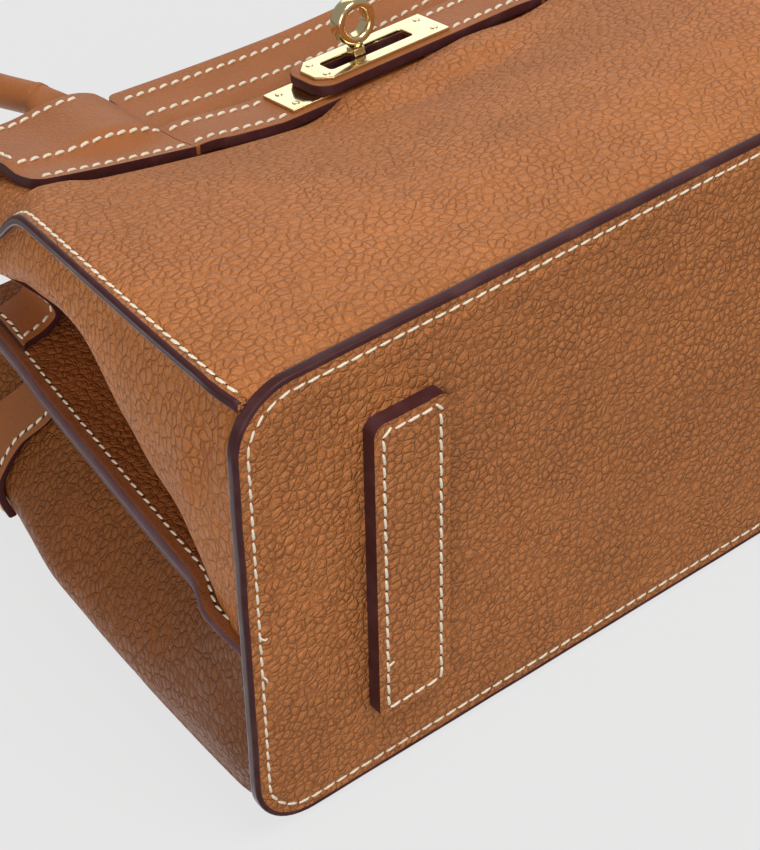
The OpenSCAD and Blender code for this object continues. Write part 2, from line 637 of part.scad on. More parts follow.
module handle_tabs_back() { color([0.7, 0.45, 0.3]) { tab_back(-1); tab_back(1); } }

root_h = pivot_up - handle_r - run - gap - run;
module roots(y) {
  for (s = [-1, 1]) translate([s * leg_x, y, foot_t + root_low]) cylinder(h = root_h, r = handle_r);
}
module handle_roots_front() { color([0.7, 0.45, 0.3]) roots(front_leg_y); }
module handle_roots_back() { color([0.7, 0.45, 0.3]) roots(back_leg_y); }

// The rolled handle is one tube along an arch, with round ends at its pivots.
arch_power = 0.72;
arch_rings = 44;
tube_sides = 12;
function arch(a) = let (up = pow(sin(a), arch_power))
  [-leg_x * sign(cos(a)) * pow(abs(cos(a)), arch_power) * (1 + handle_bow * up), handle_rise * up];
function arch_dir(a) = let (p = arch(max(0, a - 1)), q = arch(min(180, a + 1)), d = q - p) d / norm(d);
module tube_arch() {
  ends = [90, 60, 30];
  path = concat(
    [for (e = ends) [-leg_x, -handle_r * sin(e), handle_r * max(hair, cos(e)), 0, 1]],
    [for (a = steps(0, 180, arch_rings))
      let (p = arch(a), d = arch_dir(a)) [p[0], p[1], handle_r, d[0], d[1]]],
    [for (i = [2 : -1 : 0]) [leg_x, -handle_r * sin(ends[i]), handle_r * max(hair, cos(ends[i])), 0, -1]]);
  n = len(path);
  pts = [for (p = path) for (k = [0 : tube_sides - 1]) let (t = 360 * k / tube_sides)
    [p[0] - p[4] * p[2] * cos(t), p[2] * sin(t), p[1] + p[3] * p[2] * cos(t)]];
  faces = concat([[for (k = [0 : tube_sides - 1]) k]],
    [[for (k = [tube_sides - 1 : -1 : 0]) (n - 1) * tube_sides + k]],
    [for (i = [0 : n - 2]) for (k = [0 : tube_sides - 1])
      let (l = (k + 1) % tube_sides, a = i * tube_sides, b = a + tube_sides)
      each [[a + k, b + k, b + l], [a + k, b + l, a + l]]]);
  polyhedron(points = pts, faces = faces, convexity = 6);
}
module handle_front() {
  color([0.7, 0.45, 0.3]) translate([0, front_leg_y, foot_t + pivot_h])
    rotate([-handle_lean, 0, 0]) tube_arch();
}
module handle_back() {
  color([0.7, 0.45, 0.3]) translate([0, back_leg_y, foot_t + pivot_h]) tube_arch();
}

// Inside pieces: a slip pocket in front, a zipped pocket at the back.
zip_slot = 8;
zip_edge = 5;
pocket_t = 1;
pocket_gap = 2;
pocket_z = 36;
module slip_pocket() {
  a = [for (h = steps(pocket_z, pocket_z + pocket_h, 6)) [for (x = steps(-pocket_w / 2, pocket_w / 2, 8))
    [x, -front_y(x, h) + lining_in + lining_t + pocket_gap + pocket_t, foot_t + h]]];
  b = [for (h = steps(pocket_z, pocket_z + pocket_h, 6)) [for (x = steps(-pocket_w / 2, pocket_w / 2, 8))
    let (sewn = h < pocket_z + pocket_gap || abs(x) > pocket_w / 2 - pocket_gap)
    [x, -front_y(x, h) + lining_in + lining_t + (sewn ? gap : pocket_gap), foot_t + h]]];
  color([0.6, 0.4, 0.28]) sheet(a, b);
}
zip_y = back_y(0, zip_z + zip_slot / 2 + zip_edge) - lining_in - lining_t - gap;
zip_frame_t = 1.2;
module zip_pocket() {
  color([0.6, 0.4, 0.28]) translate([0, zip_y - zip_frame_t, foot_t + zip_z]) rotate([-90, 0, 0])
    linear_extrude(height = zip_frame_t) difference() {
      rounded(zip_len + 2 * zip_edge, zip_slot + 2 * zip_edge, base_r2);
      rounded(zip_len, zip_slot, base_r2);
    }
}
coil_h = 4;
coil_t = 0.8;
tape_t = 0.4;
tooth_pitch = 3.5;
tooth_w = 2;
module zip_coil() {
  color([0.8, 0.66, 0.4]) translate([0, zip_y - tape_t, foot_t + zip_z]) {
    translate([-zip_len / 2 + gap, 0, -zip_slot / 2 + gap])
      cube([zip_len - 2 * gap, tape_t, zip_slot - 2 * gap]);
    for (i = [0 : floor((zip_len - 2 * zip_edge) / tooth_pitch)])
      translate([-zip_len / 2 + zip_edge + i * tooth_pitch - tooth_w / 2, -coil_t, -coil_h / 2])
        cube([tooth_w, coil_t + hair, coil_h]);
  }
}
slider_w = 9;
slider_t = 1.4;
slider_x = -zip_len / 2 + slider_w;
slider_face = zip_y - tape_t - coil_t - run;
eye_r = 1.6;
eye_hole = 0.9;
eye_t = 1.4;
module zip_slider() {
  color([0.95, 0.8, 0.45]) translate([slider_x, slider_face, foot_t + zip_z]) {
    translate([0, 0, 0]) rotate([90, 0, 0]) linear_extrude(height = slider_t)
      rounded(slider_w, slider_h, base_r2);
    translate([-eye_t / 2, -slider_t - eye_r, 0]) rotate([0, 90, 0]) difference() {
      cylinder(h = eye_t, r = eye_r);
      translate([0, 0, -over]) cylinder(h = eye_t + 2 * over, r = eye_hole);
    }
    translate([-eye_t / 2, -slider_t - eye_r / 2, -eye_r + hair]) difference() {
      cube([eye_t, eye_r / 2 + hair, 2 * eye_r - 2 * hair]);
      translate([-over, -eye_r / 2, eye_r]) rotate([0, 90, 0])
        cylinder(h = eye_t + 2 * over, r = eye_hole);
    }
  }
}
// The puller hangs from a pin through the slider's eye.
pull_len = 26;
pull_w = 6;
pull_t = 1.4;
pull_pin = 0.7;
module zip_puller() {
  color([0.95, 0.8, 0.45]) translate([slider_x, slider_face - slider_t - eye_r, foot_t + zip_z]) {
    translate([-pull_w / 2, 0, 0]) rotate([0, 90, 0]) cylinder(h = pull_w, r = pull_pin);
    for (s = [-1, 1]) translate([s * (pull_w / 2 - eye_side / 2) - eye_side / 2, -pull_t / 2, -pull_drop])
      cube([eye_side, pull_t, pull_drop + pull_pin]);
    translate([-pull_w / 2, -pull_t / 2, -pull_len]) cube([pull_w, pull_t, pull_len - pull_drop + hair]);
  }
}
pull_drop = slider_h / 2 + run;

bottom_panel();
base_welt();
foot_strip(-1);  // foot_strip_left
foot_strip(1);  // foot_strip_right
bottom_board();
lining_floor();
front_panel();
back_panel();
gusset_half(-1, -1);  // gusset_left_front
gusset_half(-1, 1);  // gusset_left_back
gusset_half(1, -1);  // gusset_right_front
gusset_half(1, 1);  // gusset_right_back
gusset_seam(-1);  // gusset_seam_left
gusset_seam(1);  // gusset_seam_right
front_seam(-1);  // front_seam_left
front_seam(1);  // front_seam_right
back_seam(-1);  // back_seam_left
back_seam(1);  // back_seam_right
lining_front();
lining_back();
lining_side(-1);  // lining_left
lining_side(1);  // lining_right
rim_band_front();
rim_band_back();
wing(-1);  // wing_left
wing(1);  // wing_right
side_strap(-1, -1);  // side_strap_left_front
side_strap(-1, 1);  // side_strap_left_back
side_strap(1, -1);  // side_strap_right_front
side_strap(1, 1);  // side_strap_right_back
strap_left();
strap_plate_left();
plate_pins_left();
strap_right();
strap_plate_right();
plate_pins_right();
lock_base();
lock_post();
lock_ring();
handle_tabs_front();
handle_tabs_back();
handle_roots_front();
handle_roots_back();
handle_front();
handle_back();
slip_pocket();
zip_pocket();
zip_coil();
zip_slider();
zip_puller();
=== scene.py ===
import bpy, bmesh, random
from math import atan2, copysign, cos, exp, hypot, pi, radians, sin, tan
from mathutils import Vector, Matrix, noise


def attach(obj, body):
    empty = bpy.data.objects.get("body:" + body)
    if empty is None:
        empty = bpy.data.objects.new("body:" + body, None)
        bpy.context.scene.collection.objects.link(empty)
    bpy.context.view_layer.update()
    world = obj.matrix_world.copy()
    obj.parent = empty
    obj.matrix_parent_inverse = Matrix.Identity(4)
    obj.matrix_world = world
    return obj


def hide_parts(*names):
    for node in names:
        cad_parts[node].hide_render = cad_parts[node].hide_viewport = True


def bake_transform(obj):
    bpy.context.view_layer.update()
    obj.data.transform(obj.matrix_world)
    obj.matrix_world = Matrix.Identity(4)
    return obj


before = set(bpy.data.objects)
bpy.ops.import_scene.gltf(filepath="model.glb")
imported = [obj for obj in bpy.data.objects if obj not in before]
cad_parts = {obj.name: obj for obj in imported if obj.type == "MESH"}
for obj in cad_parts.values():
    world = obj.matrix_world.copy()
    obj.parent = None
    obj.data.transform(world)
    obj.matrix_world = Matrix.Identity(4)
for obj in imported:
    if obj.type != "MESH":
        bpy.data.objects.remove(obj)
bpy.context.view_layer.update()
random.seed(7)
LIFT = .02  # of stitches over their leather
LEFT_RIGHT = ((-1, "left"), (1, "right"))
FRONT_BACK = ((-1, "front"), (1, "back"))

# sizes in mm, as in the CAD part
BODY_W, BODY_D, BODY_H = 250.0, 130.0, 150.0
HALF_W, HALF_D = BODY_W / 2, BODY_D / 2
BASE_R, FLANGE_T, BOTTOM_T, LEATHER_T, LINING_T = 16.0, 3.0, 1.6, 2.0, .8
FOOT_T, FOOT_W, FOOT_LEN, FOOT_SPAN = 4.0, 21.0, 88.0, 162.6
SEAM_T, SEAM_W, RIDGE_T, GUSSET_H = 2.8, 2.4, 5.4, 146.0
WRAP_R, BACK_OUT = 4.5, 1.3
STRAP_H, STRAP_T, STRAP_Z, HINGE_X, TIP = 17.5, 3.0, 117.5, 57.0, 18.0
WING_X, WING_TOP, WING_R = 102.0, 148.5, 10.0
BAND_H, BAND_T, SIDE_STRAP_T = 18.0, 2.6, 2.4
PLATE_LEN, PLATE_H, PLATE_T, PLATE_CUT = 42.0, 13.4, .9, 3.6
RING_OD, RING_ID, RING_T = 12.4, 7.2, 4.6
HANDLE_R, LEG_X, RISE, LEAN, BOW = 4.7, 71.0, 88.0, 10.0, .3
TAB_W, TAB_T = 18.0, 2.2
GAP, RUN = .2, .3
LOCK_Y, LOCK_Z, TILT = 32.1172, 120.159, radians(8)
LEFT_N, RIGHT_N, HINGE_N, RING_N, COLLAR_N = 3.71237, 7.91237, 11.1341, 20.8124, 13.7124
RIDGE_Y = 6.5


def smooth_table(rows):
    """Monotone cubic through (x, y) rows."""
    xs, ys = [r[0] for r in rows], [r[1] for r in rows]
    d = [(ys[i + 1] - ys[i]) / (xs[i + 1] - xs[i]) for i in range(len(xs) - 1)]
    m = [d[0]]
    for i in range(1, len(d)):
        m.append(0.0 if d[i - 1] * d[i] <= 0 else 2 / (1 / d[i - 1] + 1 / d[i]))
    m.append(d[-1])

    def f(x):
        if x <= xs[0]:
            return ys[0]
        if x >= xs[-1]:
            return ys[-1]
        i = max(k for k in range(len(xs) - 1) if xs[k] <= x)
        w = xs[i + 1] - xs[i]
        t = (x - xs[i]) / w
        return (ys[i] * (2 * t ** 3 - 3 * t * t + 1) + m[i] * w * (t ** 3 - 2 * t * t + t)
                + ys[i + 1] * (3 * t * t - 2 * t ** 3) + m[i + 1] * w * (t ** 3 - t * t))
    return f


def shares(rows, size):
    """A form over the height, from rows of (share of the height, share of the size)."""
    f = smooth_table(rows)
    return lambda h: size * f(h / BODY_H)


# Forms over the height h above the base, as shares of half the width or depth: seam_x and seam_y follow the side
# seams, mid_y and side_y the front panel, back_mid and back_edge the back panel, g_out and g_back the outsides of the
# gusset's halves, g_valley its fold and ridge_x the painted edge of its middle seam.
seam_x = shares([(.02, .948), (.08, .964), (.333, .956), (.533, .936), (.607, .924), (.72, .904), (.867, .884),
                 (1, .864)], HALF_W)
seam_y_sharp = shares([(.02, .943), (.08, .985), (.333, .985), (.533, .954), (.607, .923), (.667, .808), (.72, .692),
                       (.8, .585), (1, .508)], HALF_D)


def seam_y(h):
    return sum(seam_y_sharp(h + d) for d in (-4, -2, 0, 2, 4)) / 5


mid_y = shares([(.02, .977), (.08, .995), (.2, .992), (.333, .923), (.533, .746), (.667, .585), (.74, .51),
                (.8, .488), (.88, .482), (1, .508)], HALF_D)
side_y = shares([(.02, .977), (.08, .995), (.333, .998), (.533, .962), (.607, .931), (.667, .862), (.72, .815),
                 (.78, .763), (.867, .692), (1, .608)], HALF_D)
back_mid = shares([(.02, .955), (.1, .975), (.6, .968), (1, .93)], HALF_D)
back_edge = shares([(.02, .943), (.1, .975), (.6, .96), (1, .915)], HALF_D)
g_out = shares([(.02, .985), (.133, .992), (.333, .976), (.6, .948), (.72, .92), (.867, .88)], HALF_W)
g_back = shares([(.02, .985), (.133, .997), (.333, .994), (.6, .972), (.72, .945), (.867, .905)], HALF_W)
g_valley = shares([(.02, .985), (.133, .95), (.2, .9), (.333, .84), (.6, .744), (.867, .66)], HALF_W)
# for the front (-1) and back (1) half: the share of a gusset's depth that swells out, and how fast it then falls in
SWELL = {-1: smooth_table([(.133, .35), (.333, .3), (.467, .18), (.733, .15)]),
         1: smooth_table([(.133, .35), (.333, .28), (.6, .25)])}
FOLD = {-1: smooth_table([(.133, 2), (.333, 1.6), (.467, 1), (.733, .9)]), 1: smooth_table([(.133, 2), (.6, 1.6)])}
# lower edges of the side straps along their length, as shares of the body's height
front_low = smooth_table([(0, .82), (.7, .823), (1, .805)])
back_low = smooth_table([(0, .755), (.2, .763), (.42, .8), (.8, .82)])
ridge_x = shares([(.02, .996), (.107, .992), (.193, .956), (.287, .944), (.42, .924), (.553, .904), (.707, .88),
                  (.823, .858), (.973, .84)], HALF_W)


def sstep(a, b, x):
    """A smooth step from 0 at a to 1 at b."""
    t = min(1, max(0, (x - a) / (b - a)))
    return t * t * (3 - 2 * t)


def wob(x, y, z, size, seed=0):
    """Smooth noise between -1 and 1 with waves of about the given size."""
    return noise.noise(Vector((x / size + seed * 7.3, y / size, z / size)))


def front_y(x, h):
    s = min(1, abs(x) / seam_x(h))
    c = max(0, (s - .9) / .1)
    return mid_y(h) + (side_y(h) - mid_y(h)) * s ** 1.5 + (seam_y(h) - side_y(h)) * c * c


def back_y(x, h):
    s = min(1, abs(x) / seam_x(h))
    c = max(0, (s - .9) / .1)
    return back_mid(h) + (back_edge(h) - back_mid(h)) * c * c


def wrap_x(h):
    return seam_x(h) + GAP - WRAP_R


def wrap_y(h):
    return back_edge(h) - WRAP_R


def wrap_out(h):
    return back_y(wrap_x(h), h) - wrap_y(h)


def ridge_half(h):
    return RIDGE_T / 2 * (.34 + .66 * sstep(6, 42, h))


def gusset_edge(h, end):
    """The depth at which a gusset half starts."""
    return -(seam_y(h) - SEAM_T - GAP) if end < 0 else wrap_y(h)


def gusset_x(t, h, end):
    """How far out a gusset half lies, t running from its edge seam (0) to the fold (1)."""
    a, o, v = seam_x(h) + GAP, (g_out if end < 0 else g_back)(h), g_valley(h)
    k = SWELL[end](h / BODY_H)
    if t < k:
        return a + (o - a) * sin(pi / 2 * t / k)
    f, q = FOLD[end](h / BODY_H), (t - k) / (1 - k)
    # the fold starts softly also where it falls in fast
    return o - (o - v) * (q ** f * sstep(0, .22, q) + q ** 2 * (1 - sstep(0, .22, q)))


# mesh tools
def link(name, data):
    o = bpy.data.objects.new(name, data)
    bpy.context.scene.collection.objects.link(o)
    return o


def make(name, verts, faces, mats, body="bag", slot="leather_tan", hides=(), mat_of=None, smooth=True):
    """An object from points in mm; mat_of gives each face's material. Without a body it isn't bound to one."""
    me = bpy.data.meshes.new(name)
    me.from_pydata([(v[0] / 1000, v[1] / 1000, v[2] / 1000) for v in verts], [], faces)
    for m in mats:
        me.materials.append(m)
    if mat_of:
        for p, k in zip(me.polygons, mat_of):
            p.material_index = k
    me.update()
    o = link(name, me)
    if smooth:
        me.shade_smooth()
    if body:
        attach(o, body)
    if hides:
        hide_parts(*hides)
    return o


def orient(o):
    bm = bmesh.new()
    bm.from_mesh(o.data)
    bmesh.ops.recalc_face_normals(bm, faces=bm.faces)
    bm.to_mesh(o.data)
    bm.free()
    return o


def tube(rings, n, first=0, closed=False, caps=True):
    """Faces between rings of n points each, and over the two ends of an open row of rings."""
    faces = []
    for i in range(rings if closed else rings - 1):
        a, b = first + i * n, first + (i + 1) % rings * n
        faces += [(a + j, a + (j + 1) % n, b + (j + 1) % n, b + j) for j in range(n)]
    if caps and not closed:
        faces.append(tuple(first + j for j in reversed(range(n))))
        faces.append(tuple(first + (rings - 1) * n + j for j in range(n)))
    return faces


def turned(prof, n, place):
    """Points of a turned piece: n points round the axis for each (radius, height) of its profile."""
    return [place(r * cos(2 * pi * k / n), r * sin(2 * pi * k / n), z) for r, z in prof for k in range(n)]


def lin(a, b, n):
    """n + 1 even steps from a to b."""
    return [a + (b - a) * i / n for i in range(n + 1)]


def resample(pts, pitch, closed=False):
    """Even stations along a line of (position, normal): position, tangent, normal."""
    P = [Vector(p) for p, _ in pts]
    N = [Vector(n).normalized() for _, n in pts]
    if closed:
        P.append(P[0])
        N.append(N[0])
    acc = [0.0]
    for a, b in zip(P, P[1:]):
        acc.append(acc[-1] + (b - a).length)
    count = max(1, round(acc[-1] / pitch))
    step = acc[-1] / count
    out, k = [], 0
    for i in range(count):
        d = (i + .5) * step
        while acc[k + 1] < d:
            k += 1
        t = (d - acc[k]) / (acc[k + 1] - acc[k])
        out.append((P[k].lerp(P[k + 1], t), (P[k + 1] - P[k]).normalized(), N[k].lerp(N[k + 1], t).normalized()))
    return out


def stitches(name, pts, body="bag", pitch=3.7, length=2.9, r=.42, closed=False, skew=.16, holes=True):
    """A row of raised saddle stitches, each a short two-ply thread that dips into a needle hole at both ends."""
    verts, faces, ids = [], [], []
    SEG, RIM = 8, 8
    for c, t, n in resample(pts, pitch, closed):
        s = n.cross(t).normalized()
        ln = length * random.uniform(.96, 1.05)
        sk = skew + random.uniform(-.05, .05)
        rr = r * random.uniform(.92, 1.05)
        base = len(verts)
        for k in range(SEG + 1):
            a = sin(pi / 2 * (-1 + 2 * k / SEG))
            mid = c + t * (a * ln / 2) + s * (sk * a) + n * (r * (.92 * (1 - a ** 4) - .46))
            rad = rr * (max(0.0, 1 - abs(a) ** 4) ** .5 * .9 + .1)
            for j in range(RIM):
                q = 2 * pi * j / RIM
                lobe = 1 + .10 * cos(2 * (q - a * 3.6))
                verts.append(tuple(mid + (s * cos(q) * 1.08 + n * sin(q) * .92) * rad * lobe))
        faces += tube(SEG + 1, RIM, base)
        ids += [0] * (SEG * RIM + 2)
        if not holes:
            continue
        # the needle hole that it shares with the next stitch, drawn as a flat deep-toned lens: the hole is real, its
        # deep tone is painted shade of the hole and of the stitches' shadows
        hole, base = c + t * pitch / 2, len(verts)
        half = (pitch - length) / 2 + .34
        for j in range(RIM):
            q = 2 * pi * j / RIM
            verts.append(tuple(hole + t * cos(q) * half + s * (sin(q) * r * .95 + skew * cos(q)) + n * .01))
        verts += [tuple(hole + n * .09), tuple(hole - n * .2)]
        for j in range(RIM):
            j2 = (j + 1) % RIM
            faces += [(base + j, base + j2, base + RIM), (base + j2, base + j, base + RIM + 1)]
        ids += [1] * (2 * RIM)
    return make(name, verts, faces, [THREAD, HOLE_SHADE] if holes else [THREAD], body, mat_of=ids)


def fillet(points, radii, n=8):
    """Rounded polygon outline in 2-D."""
    out = []
    m = len(points)
    for i in range(m):
        p0, p1, p2 = Vector(points[i - 1]), Vector(points[i]), Vector(points[(i + 1) % m])
        r = radii[i] if isinstance(radii, (list, tuple)) else radii
        if r <= 0:
            out.append(tuple(p1))
            continue
        a, b = (p0 - p1).normalized(), (p2 - p1).normalized()
        ang = a.angle(b)
        d = r / tan(ang / 2)
        s, e = p1 + a * d, p1 + b * d
        c = p1 + (a + b).normalized() * (r / sin(ang / 2))
        a0, a1 = atan2(s.y - c.y, s.x - c.x), atan2(e.y - c.y, e.x - c.x)
        while a1 - a0 > pi:
            a1 -= 2 * pi
        while a1 - a0 < -pi:
            a1 += 2 * pi
        for q in lin(a0, a1, n):
            out.append((c.x + r * cos(q), c.y + r * sin(q)))
    return out


def rect(x0, y0, x1, y1, radii, n=8):
    return fillet([(x0, y0), (x1, y0), (x1, y1), (x0, y1)], radii, n)


def dense(loop, step):
    """A closed outline with points no further apart than about step."""
    out = []
    for i in range(len(loop)):
        a, b = Vector(loop[i]), Vector(loop[(i + 1) % len(loop)])
        k = max(1, int((b - a).length / step))
        out += [tuple(a.lerp(b, j / k)) for j in range(k)]
    return out


def split(line, n):
    """An open line with n steps in each stretch, without its last point."""
    return [tuple(Vector(a).lerp(Vector(b), k / n)) for a, b in zip(line, line[1:]) for k in range(n)]


def cup(x0, x1, low, high, n, steps):
    """A line of stitches down one side, along the bottom and up the other side."""
    return split(fillet([(x0, high), (x0, low), (x1, low), (x1, high)], [0, 2.5, 2.5, 0], n), steps)


def row_on(fn, pts, d):
    """Points and outward normals for stitches on a mapped sheet: fn(a, b, depth) at the outer depth d."""
    out = []
    for a, b in pts:
        p, q, r = Vector(fn(a, b, d)), Vector(fn(a + .4, b, d)), Vector(fn(a, b + .4, d))
        n = (q - p).cross(r - p).normalized()
        away = (p - Vector(fn(a, b, d - .5)))
        out.append((p, n if n.dot(away) > 0 else -n))
    return out


def prism(name, outline, holes, z0, z1, mats, bevel=.2, segs=3, cuts=(), cuts_y=(), place=None, paint_at=None,
          square=None, body="bag", slot="leather_tan", hides=()):
    """A plate from a 2-D outline with holes, z0 to z1, then bent by place. Its sides have the second material where
    paint_at holds, and its edges are rounded except where square holds. cuts are the extra lines that let it bend."""
    bm = bmesh.new()
    edges = []
    for loop in [outline] + list(holes):
        vs = [bm.verts.new((x, y, z0)) for x, y in loop]
        edges += [bm.edges.new((vs[i], vs[(i + 1) % len(vs)])) for i in range(len(vs))]
    bmesh.ops.triangle_fill(bm, use_beauty=True, edges=edges)
    bmesh.ops.dissolve_limit(bm, angle_limit=.01, verts=bm.verts, edges=bm.edges)
    for at, no in [((x, 0, z0), (1, 0, 0)) for x in cuts] + [((0, y, z0), (0, 1, 0)) for y in cuts_y]:
        bmesh.ops.bisect_plane(bm, geom=bm.verts[:] + bm.edges[:] + bm.faces[:], plane_co=at, plane_no=no)
    ext = bmesh.ops.extrude_face_region(bm, geom=bm.faces[:])
    upper = [v for v in ext["geom"] if isinstance(v, bmesh.types.BMVert)]
    bmesh.ops.translate(bm, vec=(0, 0, z1 - z0), verts=upper)
    bmesh.ops.recalc_face_normals(bm, faces=bm.faces)
    if bevel:
        sharp = [e for e in bm.edges if len(e.link_faces) == 2 and e.calc_face_angle(0) > radians(60)
                 and abs(e.verts[0].co.z - e.verts[1].co.z) < 1e-6
                 and not (square and square((e.verts[0].co.x + e.verts[1].co.x) / 2))]
        bmesh.ops.bevel(bm, geom=sharp, offset=bevel, segments=segs, profile=.5, affect="EDGES", clamp_overlap=True)
    bm.normal_update()
    for f in bm.faces:
        c = f.calc_center_median()
        f.material_index = 0 if abs(f.normal.z) > .8 or (paint_at and not paint_at(c.x, c.y)) else 1
        f.smooth = True
    for v in bm.verts:
        v.co = Vector(place(*v.co))
    bmesh.ops.recalc_face_normals(bm, faces=bm.faces)
    me = bpy.data.meshes.new(name)
    for v in bm.verts:
        v.co /= 1000
    bm.to_mesh(me)
    bm.free()
    for m in mats:
        me.materials.append(m)
    o = link(name, me)
    me.set_sharp_from_angle(angle=radians(35))
    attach(o, body)
    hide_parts(*hides)


def sweep(name, path, section, mats, closed=False, mat_of=None, **kw):
    """Sweeps a closed section (a, b) along path entries (point, side, up); mat_of is for the section's strips."""
    verts, n = [], len(section)
    for p, s, u in path:
        p, s, u = Vector(p), Vector(s).normalized(), Vector(u).normalized()
        verts += [tuple(p + s * a + u * b) for a, b in section]
    kinds = mat_of or [0] * n
    ids = kinds * len(path) if closed else kinds * (len(path) - 1) + [kinds[0]] * 2
    orient(make(name, verts, tube(len(path), n, closed=closed), mats, mat_of=ids, **kw))


# materials
def blank(name):
    m = bpy.data.materials.new(name)
    m.use_nodes = True
    m.node_tree.nodes.clear()
    return m, m.node_tree


def node(nt, kind, vector=None, **kw):
    """A shader node with its inputs and settings, and with vector linked to its Vector input."""
    n = nt.nodes.new("ShaderNode" + kind)
    for k, v in kw.items():
        if k in n.inputs.keys():
            n.inputs[k].default_value = v
        else:
            setattr(n, k, v)
    if vector is not None:
        nt.links.new(vector, n.inputs["Vector"])
    return n


def nodes_of(name):
    """A new material, its tree, its main shader and the object's own coordinates."""
    m, nt = blank(name)
    p = node(nt, "BsdfPrincipled")
    nt.links.new(p.outputs[0], node(nt, "OutputMaterial").inputs[0])
    return m, nt, p, node(nt, "TexCoord").outputs["Object"]


def feed(nt, n, **kw):
    """Sets or links inputs of a node, an underscore standing for the space in an input's name."""
    for k, v in kw.items():
        s = n.inputs[k.replace("_", " ")]
        if isinstance(v, (int, float)):
            s.default_value = v
        else:
            nt.links.new(v, s)


def mix_colour(nt, fac, a, b):
    m = node(nt, "Mix", data_type="RGBA")
    nt.links.new(fac, m.inputs[0])
    for s, v in ((6, a), (7, b)):
        if isinstance(v, tuple):
            m.inputs[s].default_value = (*v, 1)
        else:
            nt.links.new(v, m.inputs[s])
    return m.outputs[2]


def ramp(nt, src, lo, hi, a=0.0, b=1.0, kind="SMOOTHSTEP"):
    r = node(nt, "MapRange", interpolation_type=kind)
    for i, v in enumerate((lo, hi, a, b)):
        r.inputs[i + 1].default_value = v
    nt.links.new(src, r.inputs[0])
    return r.outputs[0]


def math_node(nt, op, a, b):
    m = node(nt, "Math", operation=op)
    for i, v in enumerate((a, b)):
        if isinstance(v, (int, float)):
            m.inputs[i].default_value = v
        else:
            nt.links.new(v, m.inputs[i])
    return m.outputs[0]


def times(nt, a, b):
    return math_node(nt, "MULTIPLY", a, b)


def vector_math(nt, op, a, factor, add=None):
    v = node(nt, "VectorMath", operation=op)
    nt.links.new(a, v.inputs[0])
    v.inputs[1].default_value = factor
    if add is not None:
        nt.links.new(add, v.inputs[2])
    return v.outputs[0]


def cloud(nt, at, scale, detail, rough=.5):
    return node(nt, "TexNoise", at, Scale=scale, Detail=detail, Roughness=rough).outputs["Fac"]


def bump(nt, height, strength, mm, under=None):
    b = node(nt, "Bump", Strength=strength, Distance=mm / 1000)
    nt.links.new(height, b.inputs["Height"])
    if under is not None:
        nt.links.new(under, b.inputs["Normal"])
    return b.outputs[0]


def shade(colour, k):
    return tuple(c * k for c in colour)


def leather(name, colour, painted_shade_colour, cell=1.7, depth=.16, rough=(.5, .66), spec=.28, crease=.6, soft_d=1.1,
            stretch=(1, 1, 1), low=0.0):
    """Pebbled leather: rounded grains parted by thin creases that fade here and there, pores, slow changes of tone.
    The creases are darkened as painted shade, and low darkens the leather towards the base as painted shade.
    """
    m, nt, p, at = nodes_of(name)
    src = at
    for scale, amp in ((230.0, .0016), (900.0, .0005)):
        warp = node(nt, "TexNoise", at, Scale=scale, Detail=2.0)
        src = vector_math(nt, "MULTIPLY_ADD", warp.outputs["Color"], (amp,) * 3, src)
    src = vector_math(nt, "MULTIPLY", src, stretch)
    big = node(nt, "TexVoronoi", src, feature="DISTANCE_TO_EDGE", Scale=1000 / cell, Randomness=.9)
    small = node(nt, "TexVoronoi", src, feature="DISTANCE_TO_EDGE", Scale=1000 / (cell * .5), Randomness=1.0)
    cells = node(nt, "TexVoronoi", src, feature="F1", Scale=1000 / cell, Randomness=.9)
    grain = times(nt, ramp(nt, big.outputs["Distance"], 0.0, .13),
                      ramp(nt, small.outputs["Distance"], 0.0, .16, .6, 1.0))
    dome = ramp(nt, cells.outputs["Distance"], .05, .75, 1.0, 0.0)
    height = math_node(nt, "ADD", times(nt, grain, .6), times(nt, dome, .75))
    height = math_node(nt, "ADD", height, times(nt, cloud(nt, at, 2600.0, 3.0, .6), .26))
    base = mix_colour(nt, ramp(nt, cloud(nt, at, 22.0, 4.0, .6), .34, .68), shade(colour, .93), shade(colour, 1.09))
    patch = ramp(nt, cells.outputs["Color"], 0.0, 1.0, 0.0, .12, "LINEAR")
    base = mix_colour(nt, patch, base, shade(colour, .8))
    # painted shade: the creases between the grains are darkened towards the shade colour
    line = times(nt, ramp(nt, grain, 0.0, .5, crease, 0.0),
                     ramp(nt, cloud(nt, at, 75.0, 2.0), .35, .62, .25, 1.0))
    base = mix_colour(nt, line, base, painted_shade_colour)
    if low:
        # painted shade: the leather is darkened towards the base
        up = node(nt, "SeparateXYZ", at).outputs["Z"]
        base = mix_colour(nt, ramp(nt, up, .005, .085, low, 0.0), base, painted_shade_colour)
    feed(nt, p, Base_Color=base, Roughness=ramp(nt, grain, 0.0, .8, rough[1], rough[0]), Specular_IOR_Level=spec,
         Normal=bump(nt, height, .9, depth, bump(nt, cloud(nt, at, 95.0, 2.0), .5, soft_d)))
    return m


def paint(name, colour, worn, rough):
    """Built-up glossy edge paint, worn to another tone in patches; given a pale colour it draws the painted highlight
    line along the middle seam's edge.
    """
    m, nt, p, at = nodes_of(name)
    n1, n2 = cloud(nt, at, 160.0, 4.0), cloud(nt, at, 900.0, 2.0)
    height = math_node(nt, "ADD", n1, times(nt, n2, .4))
    feed(nt, p, Base_Color=mix_colour(nt, ramp(nt, n1, .42, .72, 0.0, .75), colour, worn),
         Roughness=ramp(nt, n1, .3, .7, rough, rough + .14), Normal=bump(nt, height, .35, .12),
         Specular_IOR_Level=.14)
    return m


